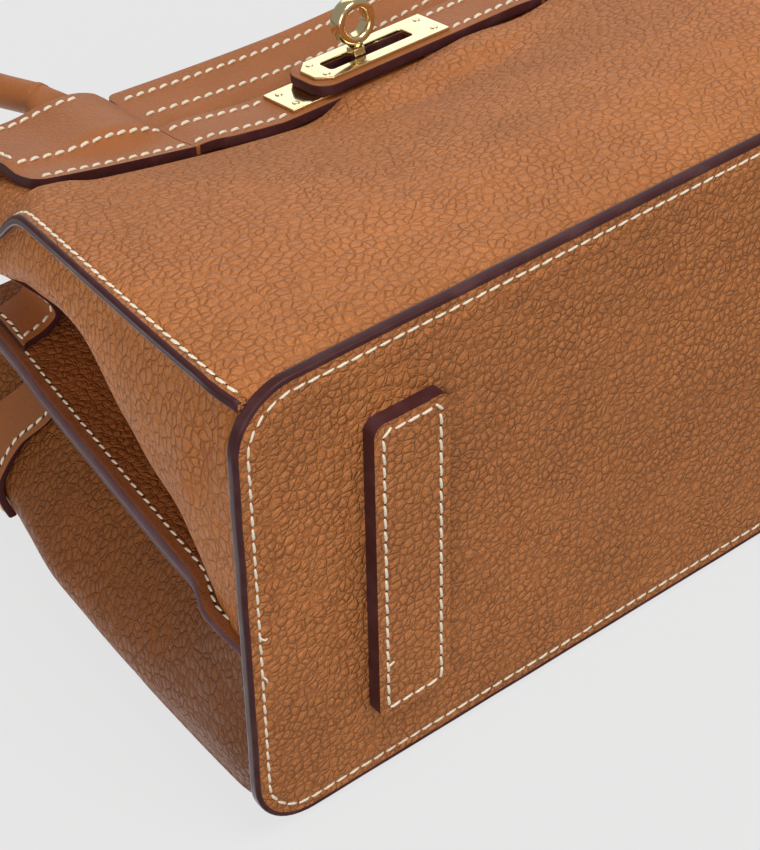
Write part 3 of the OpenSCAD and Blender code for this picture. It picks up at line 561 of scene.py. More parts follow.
def metal(name, colour, rough, wear):
    m, nt, p, at = nodes_of(name)
    n1, n2 = cloud(nt, at, 70.0, 3.0), cloud(nt, at, 1500.0, 2.0)
    feed(nt, p, Base_Color=mix_colour(nt, ramp(nt, n1, .3, .7), colour, shade(colour, .93)), Metallic=1.0,
         Roughness=ramp(nt, n1, .35, .75, rough, rough + wear), Normal=bump(nt, n2, .08, .02))
    return m


def thread_mat(name, colour):
    m, nt, p, at = nodes_of(name)
    n1, n2 = cloud(nt, at, 2400.0, 3.0), cloud(nt, at, 60.0, 1.0)
    c = mix_colour(nt, ramp(nt, n1, .35, .65), shade(colour, .82), colour)
    c = mix_colour(nt, ramp(nt, n2, .4, .7, 0.0, .3), c, shade(colour, .9))
    feed(nt, p, Base_Color=c, Normal=bump(nt, n1, .5, .1), Roughness=.62, Sheen_Weight=.25)
    return m


def tape_mat(name, colour):
    m, nt, p, at = nodes_of(name)
    w1, w2 = (node(nt, "TexWave", at, Scale=520.0, bands_direction=v, Distortion=.4) for v in "XZ")
    h = times(nt, w1.outputs["Fac"], w2.outputs["Fac"])
    feed(nt, p, Base_Color=mix_colour(nt, h, shade(colour, .7), colour), Normal=bump(nt, h, .5, .2), Roughness=.85)
    return m


TAN_FLAT = (.37, .122, .033)
TAN_WARM = (.555, .194, .055)
LEATHER = leather("leather_pebbled_tan", TAN_WARM, (.22, .064, .016), cell=2.35, depth=.95, crease=.48)
LEATHER_PANEL = leather("leather_pebbled_panel", TAN_WARM, (.22, .064, .016), cell=2.15, depth=.7, crease=.4,
                        stretch=(.8, 1, 1))
# a lighter copy of the tan leather for the gussets' front halves, painted light, with painted shade towards the base
LEATHER_FOLD_LIT = leather("leather_fold_painted_light_and_shade", (.68, .24, .068), (.23, .066, .016), cell=2.1, depth=.8, crease=.5,
                       stretch=(1, .6, 1), spec=.14, low=.2)
# a deeper-toned copy of the tan leather for the gussets' back halves and the seam flange's sides: painted shade,
# deeper still towards the base
LEATHER_VALLEY_SHADED = leather("leather_valley_painted_shade", (.33, .106, .026), (.13, .036, .009), cell=2.1, depth=.75,
                         crease=.6, stretch=(1, .6, 1), spec=.12, low=.45)
LEATHER_FLAT = leather("leather_pressed_tan", TAN_FLAT, (.26, .086, .024), cell=1.2, depth=.07, rough=(.5, .58),
                       crease=.22, soft_d=.5)
# glossy strips beside the middle seam's painted edge; their deep brown tone is painted shade
LEATHER_EDGE_SHADED = leather("leather_waxed_edge_painted_shade", (.27, .085, .026), (.12, .035, .012), cell=1.0, depth=.08,
                       rough=(.3, .42), crease=.5, soft_d=.5)
LEATHER_IN = leather("leather_flesh_side", (.36, .2, .11), (.26, .14, .07), cell=.9, depth=.05, rough=(.75, .85),
                     spec=.2)
# the lenses at the needle holes: painted shade
HOLE_SHADE = leather("needle_hole_painted_shade", (.075, .026, .012), (.03, .012, .008), cell=.8, depth=.02, spec=.1)
LINING = leather("lining_fine_goat", (.33, .155, .075), (.22, .09, .04), cell=.8, depth=.05, rough=(.58, .7), spec=.3)
PAINT = paint("edge_paint_plum", (.060, .018, .019), (.095, .036, .038), .3)
PAINT_MATT = paint("edge_paint_matt", (.125, .058, .064), (.16, .085, .092), .55)
# a pale line along the middle of the gusset seam's painted edge: a painted highlight
PAINT_HIGHLIGHT = paint("edge_paint_painted_highlight", (.36, .27, .25), (.3, .2, .19), .6)
GOLD = metal("brass_polished_pale_gold", (.80, .65, .37), .15, .06)
GOLD_DULL = metal("brass_satin", (.72, .53, .25), .28, .12)
THREAD = thread_mat("thread_waxed_cream", (.92, .82, .63))
TAPE = tape_mat("zip_tape_woven", (.2, .1, .05))
BOARD = leather("board_fibre", (.12, .09, .06), (.07, .05, .035), cell=.6, depth=.04, rough=(.85, .95), spec=.1)
FLAT = [LEATHER_FLAT, PAINT]
BRASS = [GOLD, GOLD]


def P(x, y, h):
    """A point in the part's frame; h is measured from the base, which stands on the foot strips."""
    return (x, y, h + FOOT_T)


def double(name, outer, inner, mats, hides=(), flip=False, slot="leather_tan"):
    """A sheet between two equal grids of points: outer faces, inner faces and painted rims."""
    m, n = len(outer), len(outer[0])
    verts = [p for r in outer for p in r] + [p for r in inner for p in r]
    size = m * n
    faces, ids = [], []

    def put(f, k):
        faces.append(tuple(reversed(f)) if flip else tuple(f))
        ids.append(k)
    for i in range(m - 1):
        for j in range(n - 1):
            q = (i * n + j, i * n + j + 1, (i + 1) * n + j + 1, (i + 1) * n + j)
            put(q, 0)
            put([size + k for k in reversed(q)], 1)
    for j in range(n - 1):
        put((j, size + j, size + j + 1, j + 1), 2)
        k = (m - 1) * n + j
        put((k + 1, size + k + 1, size + k, k), 2)
    for i in range(m - 1):
        k, l = i * n, (i + 1) * n
        put((l, size + l, size + k, k), 2)
        k, l = k + n - 1, l + n - 1
        put((k, size + k, size + l, l), 2)
    o = make(name, verts, faces, mats, "bag", slot, hides, ids)
    o.data.set_sharp_from_angle(angle=radians(40))
    orient(o)


def offset_rows(rows, d, sign):
    """Moves a grid of points by d along its own normals."""
    m, n, out = len(rows), len(rows[0]), []
    for i in range(m):
        line = []
        for j in range(n):
            a = Vector(rows[i][min(n - 1, j + 1)]) - Vector(rows[i][max(0, j - 1)])
            b = Vector(rows[min(m - 1, i + 1)][j]) - Vector(rows[max(0, i - 1)][j])
            line.append(tuple(Vector(rows[i][j]) + a.cross(b).normalized() * d * sign))
        out.append(line)
    return out


PANEL_MATS = [LEATHER_PANEL, LEATHER_IN, PAINT]
# the gussets' front halves take the lighter leather copy, painted light, and their back halves the deeper copy,
# painted shade
FOLD_MATS = {-1: [LEATHER_FOLD_LIT, LEATHER_IN, PAINT], 1: [LEATHER_VALLEY_SHADED, LEATHER_IN, PAINT]}


# body panels
def panel_relief(x, h, seed):
    """Soft unevenness of a hand-formed panel, fading out under the straps and at the seams."""
    fade = sstep(104, 84, h) * (1 - sstep(.86, 1, abs(x) / seam_x(h))) * sstep(2, 16, h)
    low = wob(x, 0, h, 46, seed) * .9 + wob(x, 0, h, 19, seed + 3) * .3
    pucker = (1 - abs(abs(x) / seam_x(h) - .93) / .07) if .86 < abs(x) / seam_x(h) < 1 else 0
    return low * fade + .14 * pucker * sin(2 * pi * h / 7.6)


def front_roll(x, h):
    """The soft front bulges just under the straps, most under the lock."""
    ax, over = abs(x), sstep(-22, -10, x) * (1 - sstep(24, 50, x))
    left = sstep(-97, -88, x) * (1 - sstep(-28, -18, x))
    wide = 2.6 + 3.9 * over - 1.4 * left
    from_below, below_straps = sstep(88, 103, h), 1 - sstep(105.2 + 1.9 * over, 108.6 - .2 * over, h)
    return wide * (1 - sstep(.93, 1, ax / seam_x(h))) * from_below * below_straps


def front_point(x, h):
    groove = .5 * exp(-((abs(x) - seam_x(h) + .2) / .75) ** 2) + .3 * sstep(seam_x(h) - .8, seam_x(h) + .6, abs(x))
    return P(x, -front_y(x, h) - panel_relief(x, h, 1) - front_roll(x, h) + groove * sstep(114, 106, h), h)


def back_point(x, h):
    return P(x, back_y(x, h) + panel_relief(x, h, 5) * .8, h)


def panel(name, point, side, hides):
    """A panel's sheet, its points closer together at the side seams and below the straps."""
    near = lin(.88, 1, 10) + lin(.965, 1, 10)
    us = sorted(set(round(u, 4) for u in lin(-1, 1, 88) + near + [-u for u in near]))
    outer = []
    for h in sorted(set(lin(FLANGE_T - .4, BODY_H, 78) + lin(101, 105, 4) + lin(105.4, 109, 9))):
        half = [seam_x(h) + (SEAM_W - .9) * abs(u) ** 40 if side < 0 else wrap_x(h) - GAP - .6 for u in us]
        outer.append([point(u * x, h) for u, x in zip(us, half)])
    inner = offset_rows(outer, LEATHER_T - .05, side)
    double(name, outer, inner, PANEL_MATS, hides, flip=side < 0)


panel("front_panel_skin", front_point, -1, ("front_panel",))
panel("back_panel_skin", back_point, 1, ("back_panel",))


# painted seam edges: two leather edges sewn together, standing out sideways in front and backwards behind
def edge_path(side, end):
    out = []
    for h in lin(FLANGE_T - .3, BODY_H, 90):
        w = SEAM_W if h < GUSSET_H else SEAM_W - sstep(GUSSET_H, GUSSET_H + 3, h) * 1.2
        if end < 0:
            out.append((P(side * (seam_x(h) + GAP + w), -seam_y(h), h), (side, 0, 0), (0, 1, 0)))
        else:
            x = wrap_x(h) - GAP
            out.append((P(side * x, back_y(x, h) + BACK_OUT, h), (0, 1, 0), (-side, 0, 0)))
    return out


for side, sn in LEFT_RIGHT:
    for end, en in FRONT_BACK:
        sec = [(-2.6, .05), (-1.2, .02), (-.55, -.05), (-.18, .12), (0, .5), (.03, .9), (-.06, 1.33), (.03, 1.8),
               (0, 2.2), (-.2, 2.6), (-.6, 2.8), (-1.3, 2.78), (-2.6, 2.72)]
        sweep(f"{en}_seam_{sn}_edge", edge_path(side, end), sec, [PAINT, LEATHER], hides=(f"{en}_seam_{sn}",),
              mat_of=[1, 0, 0, 0, 0, 0, 0, 0, 0, 0, 0, 1, 1])
        rows = []
        for h in lin(FLANGE_T + 2.5, BODY_H - 4 if end > 0 else GUSSET_H - 22, 200):
            x = side * (seam_x(h) - .2 if end < 0 else wrap_x(h) - SEAM_T - 2)
            fn = front_point if end < 0 else back_point
            p, q, r = Vector(fn(x, h)), Vector(fn(x + .3, h)), Vector(fn(x, h + .3))
            nn = (q - p).cross(r - p).normalized()
            nn = nn if nn.y * end > 0 else -nn
            rows.append((p + nn * .14, nn))
        stitches(f"{en}_seam_{sn}_stitches", rows, pitch=3.2, length=3.0, r=.5)


# gussets: each half swells out from the edge seam and folds in to the middle seam
def gusset_point(side, end, t, h):
    if t < 0:
        q = -t * pi / 2
        return P(side * (wrap_x(h) + WRAP_R * cos(q)), wrap_y(h) + wrap_out(h) * sin(q), h)
    y0, y1 = gusset_edge(h, end), RIDGE_Y + end * (ridge_half(h) + .05)
    x = gusset_x(t, h, end)
    mid = sin(pi * min(1, max(0, t)))
    soft = (wob(t * 40, end * 30, h, 26, 9 + side) * 1.0 + wob(t * 60, end * 30, h, 11, 4 + side) * .35) * mid
    soft *= sstep(3, 14, h) * sstep(GUSSET_H + 6, 100, h)
    crease = 0
    if side < 0 and end < 0:
        d = (h - 10 - 16 * t) / 3.4
        crease = -1.5 * exp(-d * d) * exp(-((t - .30) / .16) ** 2)
        crease += .8 * exp(-((h - 15 - 16 * t) / 4.5) ** 2) * exp(-((t - .3) / .2) ** 2)
    pucker = .16 * sin(2 * pi * h / 7.8) * ((exp(-t / .06) if end < 0 else 0) + exp(-(1 - t) / .08))
    return P(side * (x + soft + crease + pucker), y0 + (y1 - y0) * t,
             h + 4 * sstep(.3, 1, t) * sstep(132, GUSSET_H, h))


RIDGE_TOP = GUSSET_H + 4
for side, sn in LEFT_RIGHT:
    for end, en in FRONT_BACK:
        ts = sorted(set((lin(-1, 0, 10) if end > 0 else []) + lin(0, 1, 44) + lin(0, .1, 5)))
        outer = [[gusset_point(side, end, t, h) for t in ts] for h in lin(FLANGE_T - .4, GUSSET_H, 72)]
        inner = offset_rows(outer, LEATHER_T - .05, side * end)
        double(f"gusset_{sn}_{en}_skin", outer, inner, FOLD_MATS[end], (f"gusset_{sn}_{en}",), flip=side * end < 0)
    # the flange reaches from the fold out to its painted edge and gets narrower towards the base
    verts, faces, ids = [], [], []
    prof = [(-1, 99), (-1, 5.5), (-1, 2.7), (-1, 1.2), (-.98, .35), (-.82, 0), (-.42, -.2), (-.05, -.36), (0, -.28)]
    prof += [(-b, a) for b, a in reversed(prof[:-1])]
    # strips of the flange's section: 0 matt edge paint, 1 its sides in the deeper leather copy, painted shade, 2 the
    # deepened strips beside the edge, painted shade, 3 a pale painted highlight along the middle
    kinds = [1, 1, 2, 2, 0, 0, 0, 3, 3, 0, 0, 0, 2, 2, 1, 1]
    hs = lin(FLANGE_T - .2, RIDGE_TOP, 120)

    def wave(h):
        return .35 * wob(0, side * 20, h, 17, 2) + .2 * wob(0, side * 9, h, 7, 3)
    for h in hs:
        rx, root = ridge_x(h), g_valley(h) - 2
        for b, a in prof:
            verts.append(P(side * max(root, rx - a), RIDGE_Y + b * ridge_half(h) + wave(h) * (0 if a > 3 else 1), h))
    n = len(prof)
    for i in range(len(hs) - 1):
        for j in range(n - 1):
            a = i * n + j
            faces.append((a, a + 1, a + n + 1, a + n))
            ids.append(kinds[j])
    for i in (0, len(hs) - 1):
        faces.append(tuple(i * n + j for j in range(n)))
        ids.append(0)
    orient(make(f"gusset_seam_{sn}_flange", verts, faces, [PAINT_MATT, LEATHER_VALLEY_SHADED, LEATHER_EDGE_SHADED, PAINT_HIGHLIGHT],
                hides=(f"gusset_seam_{sn}",), mat_of=ids))
    for end, en in FRONT_BACK:
        rows = []
        for h in lin(5, RIDGE_TOP - 1, 180):
            deep = min(3.3, ridge_x(h) - g_valley(h) + 1)
            rows.append((P(side * (ridge_x(h) - deep), RIDGE_Y + end * ridge_half(h) + wave(h), h), (0, end, 0)))
        stitches(f"gusset_seam_{sn}_stitches_{en}", rows, pitch=3.3, length=2.3, r=.32)


# bottom and feet
def base_outline(inset):
    a, b = HALF_W - inset, HALF_D - inset
    return rect(-a, -b, a, b, BASE_R - inset, 12)


def inset_at(x, y):
    """Distance inside the base's outline."""
    u, v = abs(x) - (HALF_W - BASE_R), abs(y) - (HALF_D - BASE_R)
    return BASE_R - hypot(max(u, 0), max(v, 0)) - min(max(u, v), 0)


def bottom_place(x, y, z):
    if z > 1:
        return x, y, FOOT_T + BOTTOM_T
    e = inset_at(x, y)
    groove = .3 * exp(-((e - 4.1) / 1.0) ** 2) - .22 * exp(-((e - 7.0) / 2.2) ** 2)
    soft = wob(x, y, 0, 34, 6) * .3 * sstep(7, 16, e) + wob(x, y, 0, 15, 8) * .1 * sstep(5, 10, e)
    pull = .1 * sin((x + y) * 2 * pi / 7.5) * exp(-((e - 5.6) / 1.6) ** 2)
    return x, y, FOOT_T - .02 + groove + soft + pull + .25 * sstep(2.4, 1.1, e)


rim = [.6, 1.3, 2.1, 2.8, 3.4, 4.2, 5.2, 6.6, 8.6, 11.5]
prism("bottom_leather", dense(base_outline(1.1), 2.0), [], 0, BOTTOM_T, [LEATHER, PAINT], bevel=0,
      cuts=lin(-110, 110, 62) + [s * (HALF_W - 1.1 - v) for v in rim for s in (-1, 1)],
      cuts_y=lin(-50, 50, 30) + [s * (HALF_D - 1.1 - v) for v in rim for s in (-1, 1)],
      place=bottom_place, hides=("bottom_panel",))
loop = dense(base_outline(0), 3.0)
path = []
for i, (x, y) in enumerate(loop):
    a, b = Vector(loop[i - 1]), Vector(loop[(i + 1) % len(loop)])
    t = (b - a).normalized()
    out = Vector((t.y, -t.x))
    wave = .12 * wob(x, y, 0, 13, 12)
    path.append(((x + out.x * (wave - .12), y + out.y * (wave - .12), FOOT_T), (out.x, out.y, 0), (0, 0, 1)))
sec = [(-1.5, .35), (-1.25, .08), (-.9, -.01), (-.45, .06), (-.12, .34), (0, .8), (-.07, 1.38), (0, 1.95),
       (-.06, 2.5), (-.34, 2.9), (-.9, 3.02), (-3.2, 3.0), (-4.8, 2.9), (-4.8, 1.9), (-1.5, 1.9)]
sweep("base_welt_edge", path, sec, [PAINT], closed=True, hides=("base_welt",))

row = [((x, y, FOOT_T + .33), (0, 0, -1)) for x, y in dense(base_outline(3.9), 1.0)]
stitches("bottom_stitches", row, pitch=3.75, length=3.45, r=.34, closed=True)

for side, sn in LEFT_RIGHT:
    cx = side * FOOT_SPAN / 2
    a, b = FOOT_W / 2, FOOT_LEN / 2
    out = dense(rect(-a, -b, a, b, 3.0, 8), 4.0)
    prism(f"foot_strip_{sn}_leather", out, [], 0, FOOT_T, [LEATHER, PAINT], bevel=.75, segs=4,
              cuts=lin(-a + 3, a - 3, 5), cuts_y=lin(-b + 3, b - 3, 20),
              place=lambda x, y, z, cx=cx: (cx + x, y, z + (.12 * exp(-((abs(x) - 7.2) / .8) ** 2) if z < 1 else 0)),
              hides=(f"foot_strip_{sn}",))
    ring = dense(rect(-a + 2.6, -b + 2.6, a - 2.6, b - 2.6, 1.6, 4), 1.0)
    stitches(f"foot_strip_{sn}_stitches", [((cx + x, y, .12), (0, 0, -1)) for x, y in ring], pitch=3.7, length=3.4,
             r=.35, closed=True)


THREAD_R = .26


def thread_end(name, pts):
    """A loose cut thread end, curved between three points."""
    path, (a, b, c) = [], [Vector(p) for p in pts]
    for t in lin(0, 1, 14):
        d = ((b - a) * (1 - t) + (c - b) * t).normalized()
        s = d.orthogonal().normalized()
        path.append((a * (1 - t) ** 2 + b * 2 * t * (1 - t) + c * t * t, s, d.cross(s)))
    sweep(name, path, [(THREAD_R * cos(2 * pi * k / 8), THREAD_R * sin(2 * pi * k / 8)) for k in range(8)], [THREAD])


thread_end("thread_end_a", [(-121.3, 1.5, 3.8), (-120.4, 2.4, 3.1), (-119.7, 2.5, 3.7)])
thread_end("thread_end_b", [(-121.2, 13.5, 3.8), (-120.5, 14.2, 3.1), (-120.3, 15.4, 3.7)])
row_x = -FOOT_SPAN / 2 - FOOT_W / 2 + 2.6
thread_end("thread_end_c", [(row_x, 28, .1), (row_x + .9, 27.1, -.4), (row_x + 1.7, 27.4, .1)])


# wings, bands, tabs
def off_ramp(h):
    """0 at the middle of the straps, 1 from their upper edge up."""
    return min(1, max(0, (h - STRAP_Z) / (STRAP_H / 2)))


def wing_off(x, h):
    """How far a wing lies over the panel, above the straps over the handle's tab."""
    r = sstep(HINGE_X, LEG_X - TAB_W / 2, x) * .5 + min(1, max(0, (x - HINGE_X) / (LEG_X - TAB_W / 2 - HINGE_X))) * .5
    swell = 2.4 * cos(pi / 2 * min(1, abs(x - LEG_X) / TAB_W)) ** 2
    return GAP + sstep(-.1, 1.0, off_ramp(h)) * ((TAB_T + GAP) * r + swell)


def wing_place(side, x, h, d):
    return P(side * x, -front_y(x, h) - wing_off(x, h) - d, h)


SADDLE = dict(pitch=3.6, length=2.85, r=.45, skew=.24, holes=False)
LOW = STRAP_Z - STRAP_H / 2
HIGH = STRAP_Z + STRAP_H / 2
for side, sn in LEFT_RIGHT:
    x0 = HINGE_X + .15
    out = dense(rect(x0, LOW, WING_X, WING_TOP, [0, 3.6, WING_R, WING_R], 8), 2.6)
    fn = lambda x, h, d, side=side: wing_place(side, x, h, d)
    prism(f"wing_{sn}_leather", out, [], 0, STRAP_T, FLAT, bevel=.85, segs=4, cuts=lin(60, 99, 15),
          cuts_y=lin(111.5, 145, 14), place=fn, hides=(f"wing_{sn}",), paint_at=lambda x, h: x > 82 or h < LOW + 1.2,
          square=lambda x: x < HINGE_X + .3)
    d = STRAP_T + LIFT
    for nm, h in (("low", LOW + 2.9), ("mid", HIGH - 3.4)):
        row = row_on(fn, [(x, h) for x in lin(HINGE_X + 1.0, WING_X - 2.6, 60)], d)
        stitches(f"wing_{sn}_stitches_{nm}", row, **SADDLE)
    x, top = WING_X - 2.9, WING_TOP - 2.9
    arch = fillet([(x, HIGH - 1), (x, top), (x0 + 5.5, top)], [0, 7.4, 0], 8)
    stitches(f"wing_{sn}_stitches_lobe", row_on(fn, split(arch, 6), d), **SADDLE)


def band(which, half, low, place, cuts, cuts_y, rows, inset, **kw):
    """A band sewn along a panel's rim, with rows of stitches at the given heights."""
    out = dense(rect(-half, low, half, BODY_H + .2, [1.2, 1.2, 2.5, 2.5], 4), 3.0)
    prism(f"rim_band_{which}_leather", out, [], 0, BAND_T, FLAT, bevel=.75, segs=4, cuts=cuts, cuts_y=cuts_y,
          place=place, hides=(f"rim_band_{which}",), **kw)
    for nm, h in zip(("low", "top"), rows):
        row = row_on(place, [(x, h) for x in lin(-half + inset, half - inset, 90)], BAND_T + LIFT)
        stitches(f"rim_band_{which}_stitches_{nm}", row, **SADDLE)


BAND_X, BAND_LOW = HINGE_X - .25, BODY_H - BAND_H - 11


def front_band_place(x, h, d):
    return P(x, -front_y(x, h) - GAP - d * (.28 + .72 * sstep(BAND_LOW + 4, BAND_LOW + 14, h)), h)


band("front", BAND_X, BAND_LOW, front_band_place, lin(-54, 54, 36), lin(BAND_LOW + 2, BODY_H - 3, 14),
     (BODY_H - BAND_H + 4, BODY_H - 4.2), 2.5, paint_at=lambda x, h: h > BODY_H - 1.5,
     square=lambda x: abs(x) > BAND_X - .3)
low = BODY_H - BAND_H
band("back", LEG_X - TAB_W / 2 - GAP, low, lambda x, h, d: P(x, back_y(x, h) + GAP + d, h), lin(-58, 58, 36),
     lin(low + 3, BODY_H - 3, 5), (low + 3, BODY_H - 3), 1.5)

# tabs of the handles, sewn on the panels; the front ones lie under the wings
for which, fn in (("front", lambda x, h, d: P(x, -front_y(x, h) - GAP / 2 - d, h)),
                   ("back", lambda x, h, d: P(x, back_y(x, h) + GAP / 2 + d, h))):
    for side, sn in LEFT_RIGHT:
        low = HIGH + GAP
        a = TAB_W / 2 - .05
        out = [(side * LEG_X + x, h) for x, h in dense(rect(-a, low, a, BODY_H, [4, 4, .6, .6], 5), 2.5)]
        prism(f"handle_tab_{which}_{sn}", out, [], 0, TAB_T, FLAT, bevel=.6, segs=3,
              cuts=[side * LEG_X + v for v in lin(-6, 6, 4)], cuts_y=lin(low + 4, BODY_H - 3, 6), place=fn,
              hides=(f"handle_tabs_{which}",))
        if which == "back":
            c = side * LEG_X
            row = row_on(fn, cup(c - a + 2.6, c + a - 2.6, low + 2.6, BODY_H - 2.5, 5, 5), TAB_T + LIFT)
            stitches(f"handle_tab_{which}_{sn}_stitches", row, pitch=4.2, length=3.2, r=.42)


# handles: the height and depths of their pivots, and the roll
HANDLE_Z, HANDLE_FRONT_Y, HANDLE_BACK_Y = 162.0, -39.0847, 58.45
CORE_R, ROUND, ARCH_STEPS, STATIONS = HANDLE_R - .35, 32, 720, 150
THREAD_AT = .62  # angle of the seam's thread round the roll, from its inner side


def arch_pt(a):
    c, up = cos(a), max(0, sin(a)) ** .72
    return -LEG_X * copysign(abs(c) ** .72, c) * (1 + BOW * up), RISE * up


def handle(name, y, lean, body, hides):
    """A rolled leather handle round a cord core, with its sewn seam along the inside."""
    lean = radians(lean)
    pivot = Vector((0, y, HANDLE_Z))

    def place(x, v, z):
        return pivot + Vector((x, v * cos(lean) + z * sin(lean), -v * sin(lean) + z * cos(lean)))
    # even stations along the arch
    raw = [arch_pt(pi * k / ARCH_STEPS) for k in range(ARCH_STEPS + 1)]
    acc = [0.0]
    for a, b in zip(raw, raw[1:]):
        acc.append(acc[-1] + hypot(b[0] - a[0], b[1] - a[1]))
    total, stations, k = acc[-1], [], 0
    for i in range(STATIONS + 1):
        d = total * i / STATIONS
        while k < ARCH_STEPS - 1 and acc[k + 1] < d:
            k += 1
        p = Vector(raw[k]).lerp(Vector(raw[k + 1]), (d - acc[k]) / max(1e-9, acc[k + 1] - acc[k]))
        along = (Vector(raw[min(ARCH_STEPS, k + 5)]) - Vector(raw[max(0, k - 4)])).normalized()
        stations.append((p, Vector((along.y, -along.x)), d))
    # round section with a narrow sewn lip on the inner side of the arch
    verts = []
    for p, inward, d in stations:
        pinch = 1 - .02 * exp(-min(d, total - d) / 8)
        for j in range(ROUND):
            q = 2 * pi * j / ROUND
            lip = .55 * exp(-((q if q < pi else 2 * pi - q) / .26) ** 2)
            r = CORE_R * pinch + lip + .10 * wob(p.x, q * 4, p.y, 9, 21)
            u = inward * cos(q) * r
            verts.append(tuple(place(p.x + u.x, sin(q) * r, p.y + u.y)))
    ids = ([1] + [0] * (ROUND - 2) + [1]) * STATIONS + [0, 0]
    orient(make(name + "_rolled", verts, tube(STATIONS + 1, ROUND), FLAT, body, hides=hides, mat_of=ids))
    rows = []
    for p, inward, d in stations[6:-6]:
        u = inward * cos(THREAD_AT) * CORE_R
        pt = place(p.x + u.x, sin(THREAD_AT) * CORE_R, p.y + u.y)
        rows.append((pt, pt - place(p.x, 0, p.y)))
    stitches(f"{name}_stitches", rows, body, pitch=4.4, length=3.3, r=.42)


handle("handle_front", HANDLE_FRONT_Y, LEAN, "handle_front_body", ("handle_front",))
handle("handle_back", HANDLE_BACK_Y, 0, "handle_back_body", ("handle_back",))


def neck(name, side, y, lean, hides, tab_y):
    """The handle's leather flattens from the roll into the tab sewn on the panel."""
    lean = radians(lean)
    rings, z0, thick = 14, BODY_H + FOOT_T - 5.0, HANDLE_R - .3
    top = Vector((0, y, HANDLE_Z)) + Vector((0, 3.0 * sin(lean), 3.0 * cos(lean)))
    verts = []
    for t in lin(0, 1, rings):
        e, round_now = sstep(0, 1, t), sstep(0, .62, t)
        c = tab_y + (top.y - tab_y) * e
        a = (TAB_W / 2 - .2) * (1 - e) + thick * e
        b = (TAB_T / 2 + .25) * (1 - round_now) + thick * round_now
        pw = 1 - .45 * (1 - e)
        for j in range(ROUND):
            u, v = cos(2 * pi * j / ROUND), sin(2 * pi * j / ROUND)
            verts.append((side * (LEG_X + .25 * e) + copysign(abs(u) ** pw, u) * a, c + copysign(abs(v) ** pw, v) * b,
                          z0 + (top.z - z0) * t))
    o = orient(make(name, verts, tube(rings + 1, ROUND), [LEATHER_FLAT], None, hides=(hides,)))
    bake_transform(o)


for side, sn in LEFT_RIGHT:
    front_tab, back_tab = (y + GAP / 2 + TAB_T / 2 for y in (front_y(LEG_X, BODY_H), back_y(LEG_X, BODY_H)))
    neck(f"handle_neck_front_{sn}", side, HANDLE_FRONT_Y, LEAN, "handle_roots_front", -front_tab)
    neck(f"handle_neck_back_{sn}", side, HANDLE_BACK_Y, 0, "handle_roots_back", back_tab)


# side straps round the gussets
FIRST_T, TURN_T, TURN_FROM, TURN_TO, END_IN = .02, .62, .45, .9, 2.5
BACK_END_T = .93


def fold_at(t, h):
    y0, y1 = gusset_edge(h, -1), RIDGE_Y - RIDGE_T / 2 - GAP
    return Vector((gusset_x(t, h, -1) + RUN, y0 + (y1 - y0) * t))


def front_line(s, h):
    """A front side strap's line, as (distance from the middle, depth): into the fold and out along the seam."""
    if s < TURN_FROM:
        return fold_at(FIRST_T + (TURN_T - FIRST_T) * s / TURN_FROM, h)
    p, q, y = fold_at(TURN_T, h), fold_at(TURN_T + .005, h), RIDGE_Y - RIDGE_T / 2 - RUN
    c = Vector((p.x + (q.x - p.x) / (q.y - p.y) * (y - p.y), y))
    e = c + Vector(((p - c).length, 0))
    if s < TURN_TO:
        u = (s - TURN_FROM) / (TURN_TO - TURN_FROM)
        return (1 - u) ** 2 * p + 2 * u * (1 - u) * c + u * u * e
    return e.lerp(Vector((ridge_x(h) - END_IN, y)), (s - TURN_TO) / (1 - TURN_TO))


def front_strap_place(s, w, d, side):
    h = BODY_H * front_low(s) + STRAP_H * w / 20
    a, b = front_line(max(0, s - .005), h), front_line(min(1, s + .005), h)
    along, p = (b - a).normalized(), front_line(s, h)
    return P(side * (p.x + d * along.y), p.y - d * along.x, h)


def back_strap_place(s, w, d, side):
    h = BODY_H * back_low(s) + STRAP_H * w / 20
    t = FIRST_T + (BACK_END_T - FIRST_T) * (1 - s)
    y0, y1 = gusset_edge(h, 1), RIDGE_Y + RIDGE_T / 2 + GAP
    return P(side * (gusset_x(t, h, 1) + RUN + d), y0 + (y1 - y0) * t, h)


for side, sn in LEFT_RIGHT:
    for en, place in (("front", front_strap_place), ("back", back_strap_place)):
        # v runs along the strap towards the back (0 to 60), w from its lower edge (0) to its upper edge (20)
        def fn(v, w, d, side=side, place=place):
            return place(v / 60, w, d, side)
        out = dense(rect(.1, 0, 59.9, 20, 1.2, 6), 1.6)
        nm = f"side_strap_{sn}_{en}"
        prism(f"{nm}_leather", out, [], 0, SIDE_STRAP_T, FLAT, bevel=.7, segs=4, cuts=lin(2, 58, 36),
              cuts_y=lin(3, 17, 5), place=fn, hides=(nm,))
        inset = 2.6 * 20 / STRAP_H
        loop = [(v, inset) for v in lin(1, 58, 90)] + [(57.6, w) for w in lin(inset + .4, 20 - inset, 24)]
        stitches(f"{nm}_stitches", row_on(fn, loop, SIDE_STRAP_T + LIFT), pitch=3.4, length=2.5, r=.36, skew=.2)


# lock frame and straps
CT, ST = cos(TILT), sin(TILT)


def lock(x, n, w):
    """A point of the tilted lock: n outwards from its plane, w up along it."""
    return (x, -LOCK_Y - n * CT + w * ST, LOCK_Z + n * ST + w * CT)


def need(x):
    """The least height over the lock's plane at which a tongue clears the front there."""
    hs = lin(LOW, HIGH, 4)
    return max((front_y(x, h) + 2 * RUN - LOCK_Y + (h - STRAP_Z) * tan(TILT)) / CT for h in hs)


FLAT_X = PLATE_LEN - TIP + 2.0 + 3 * GAP


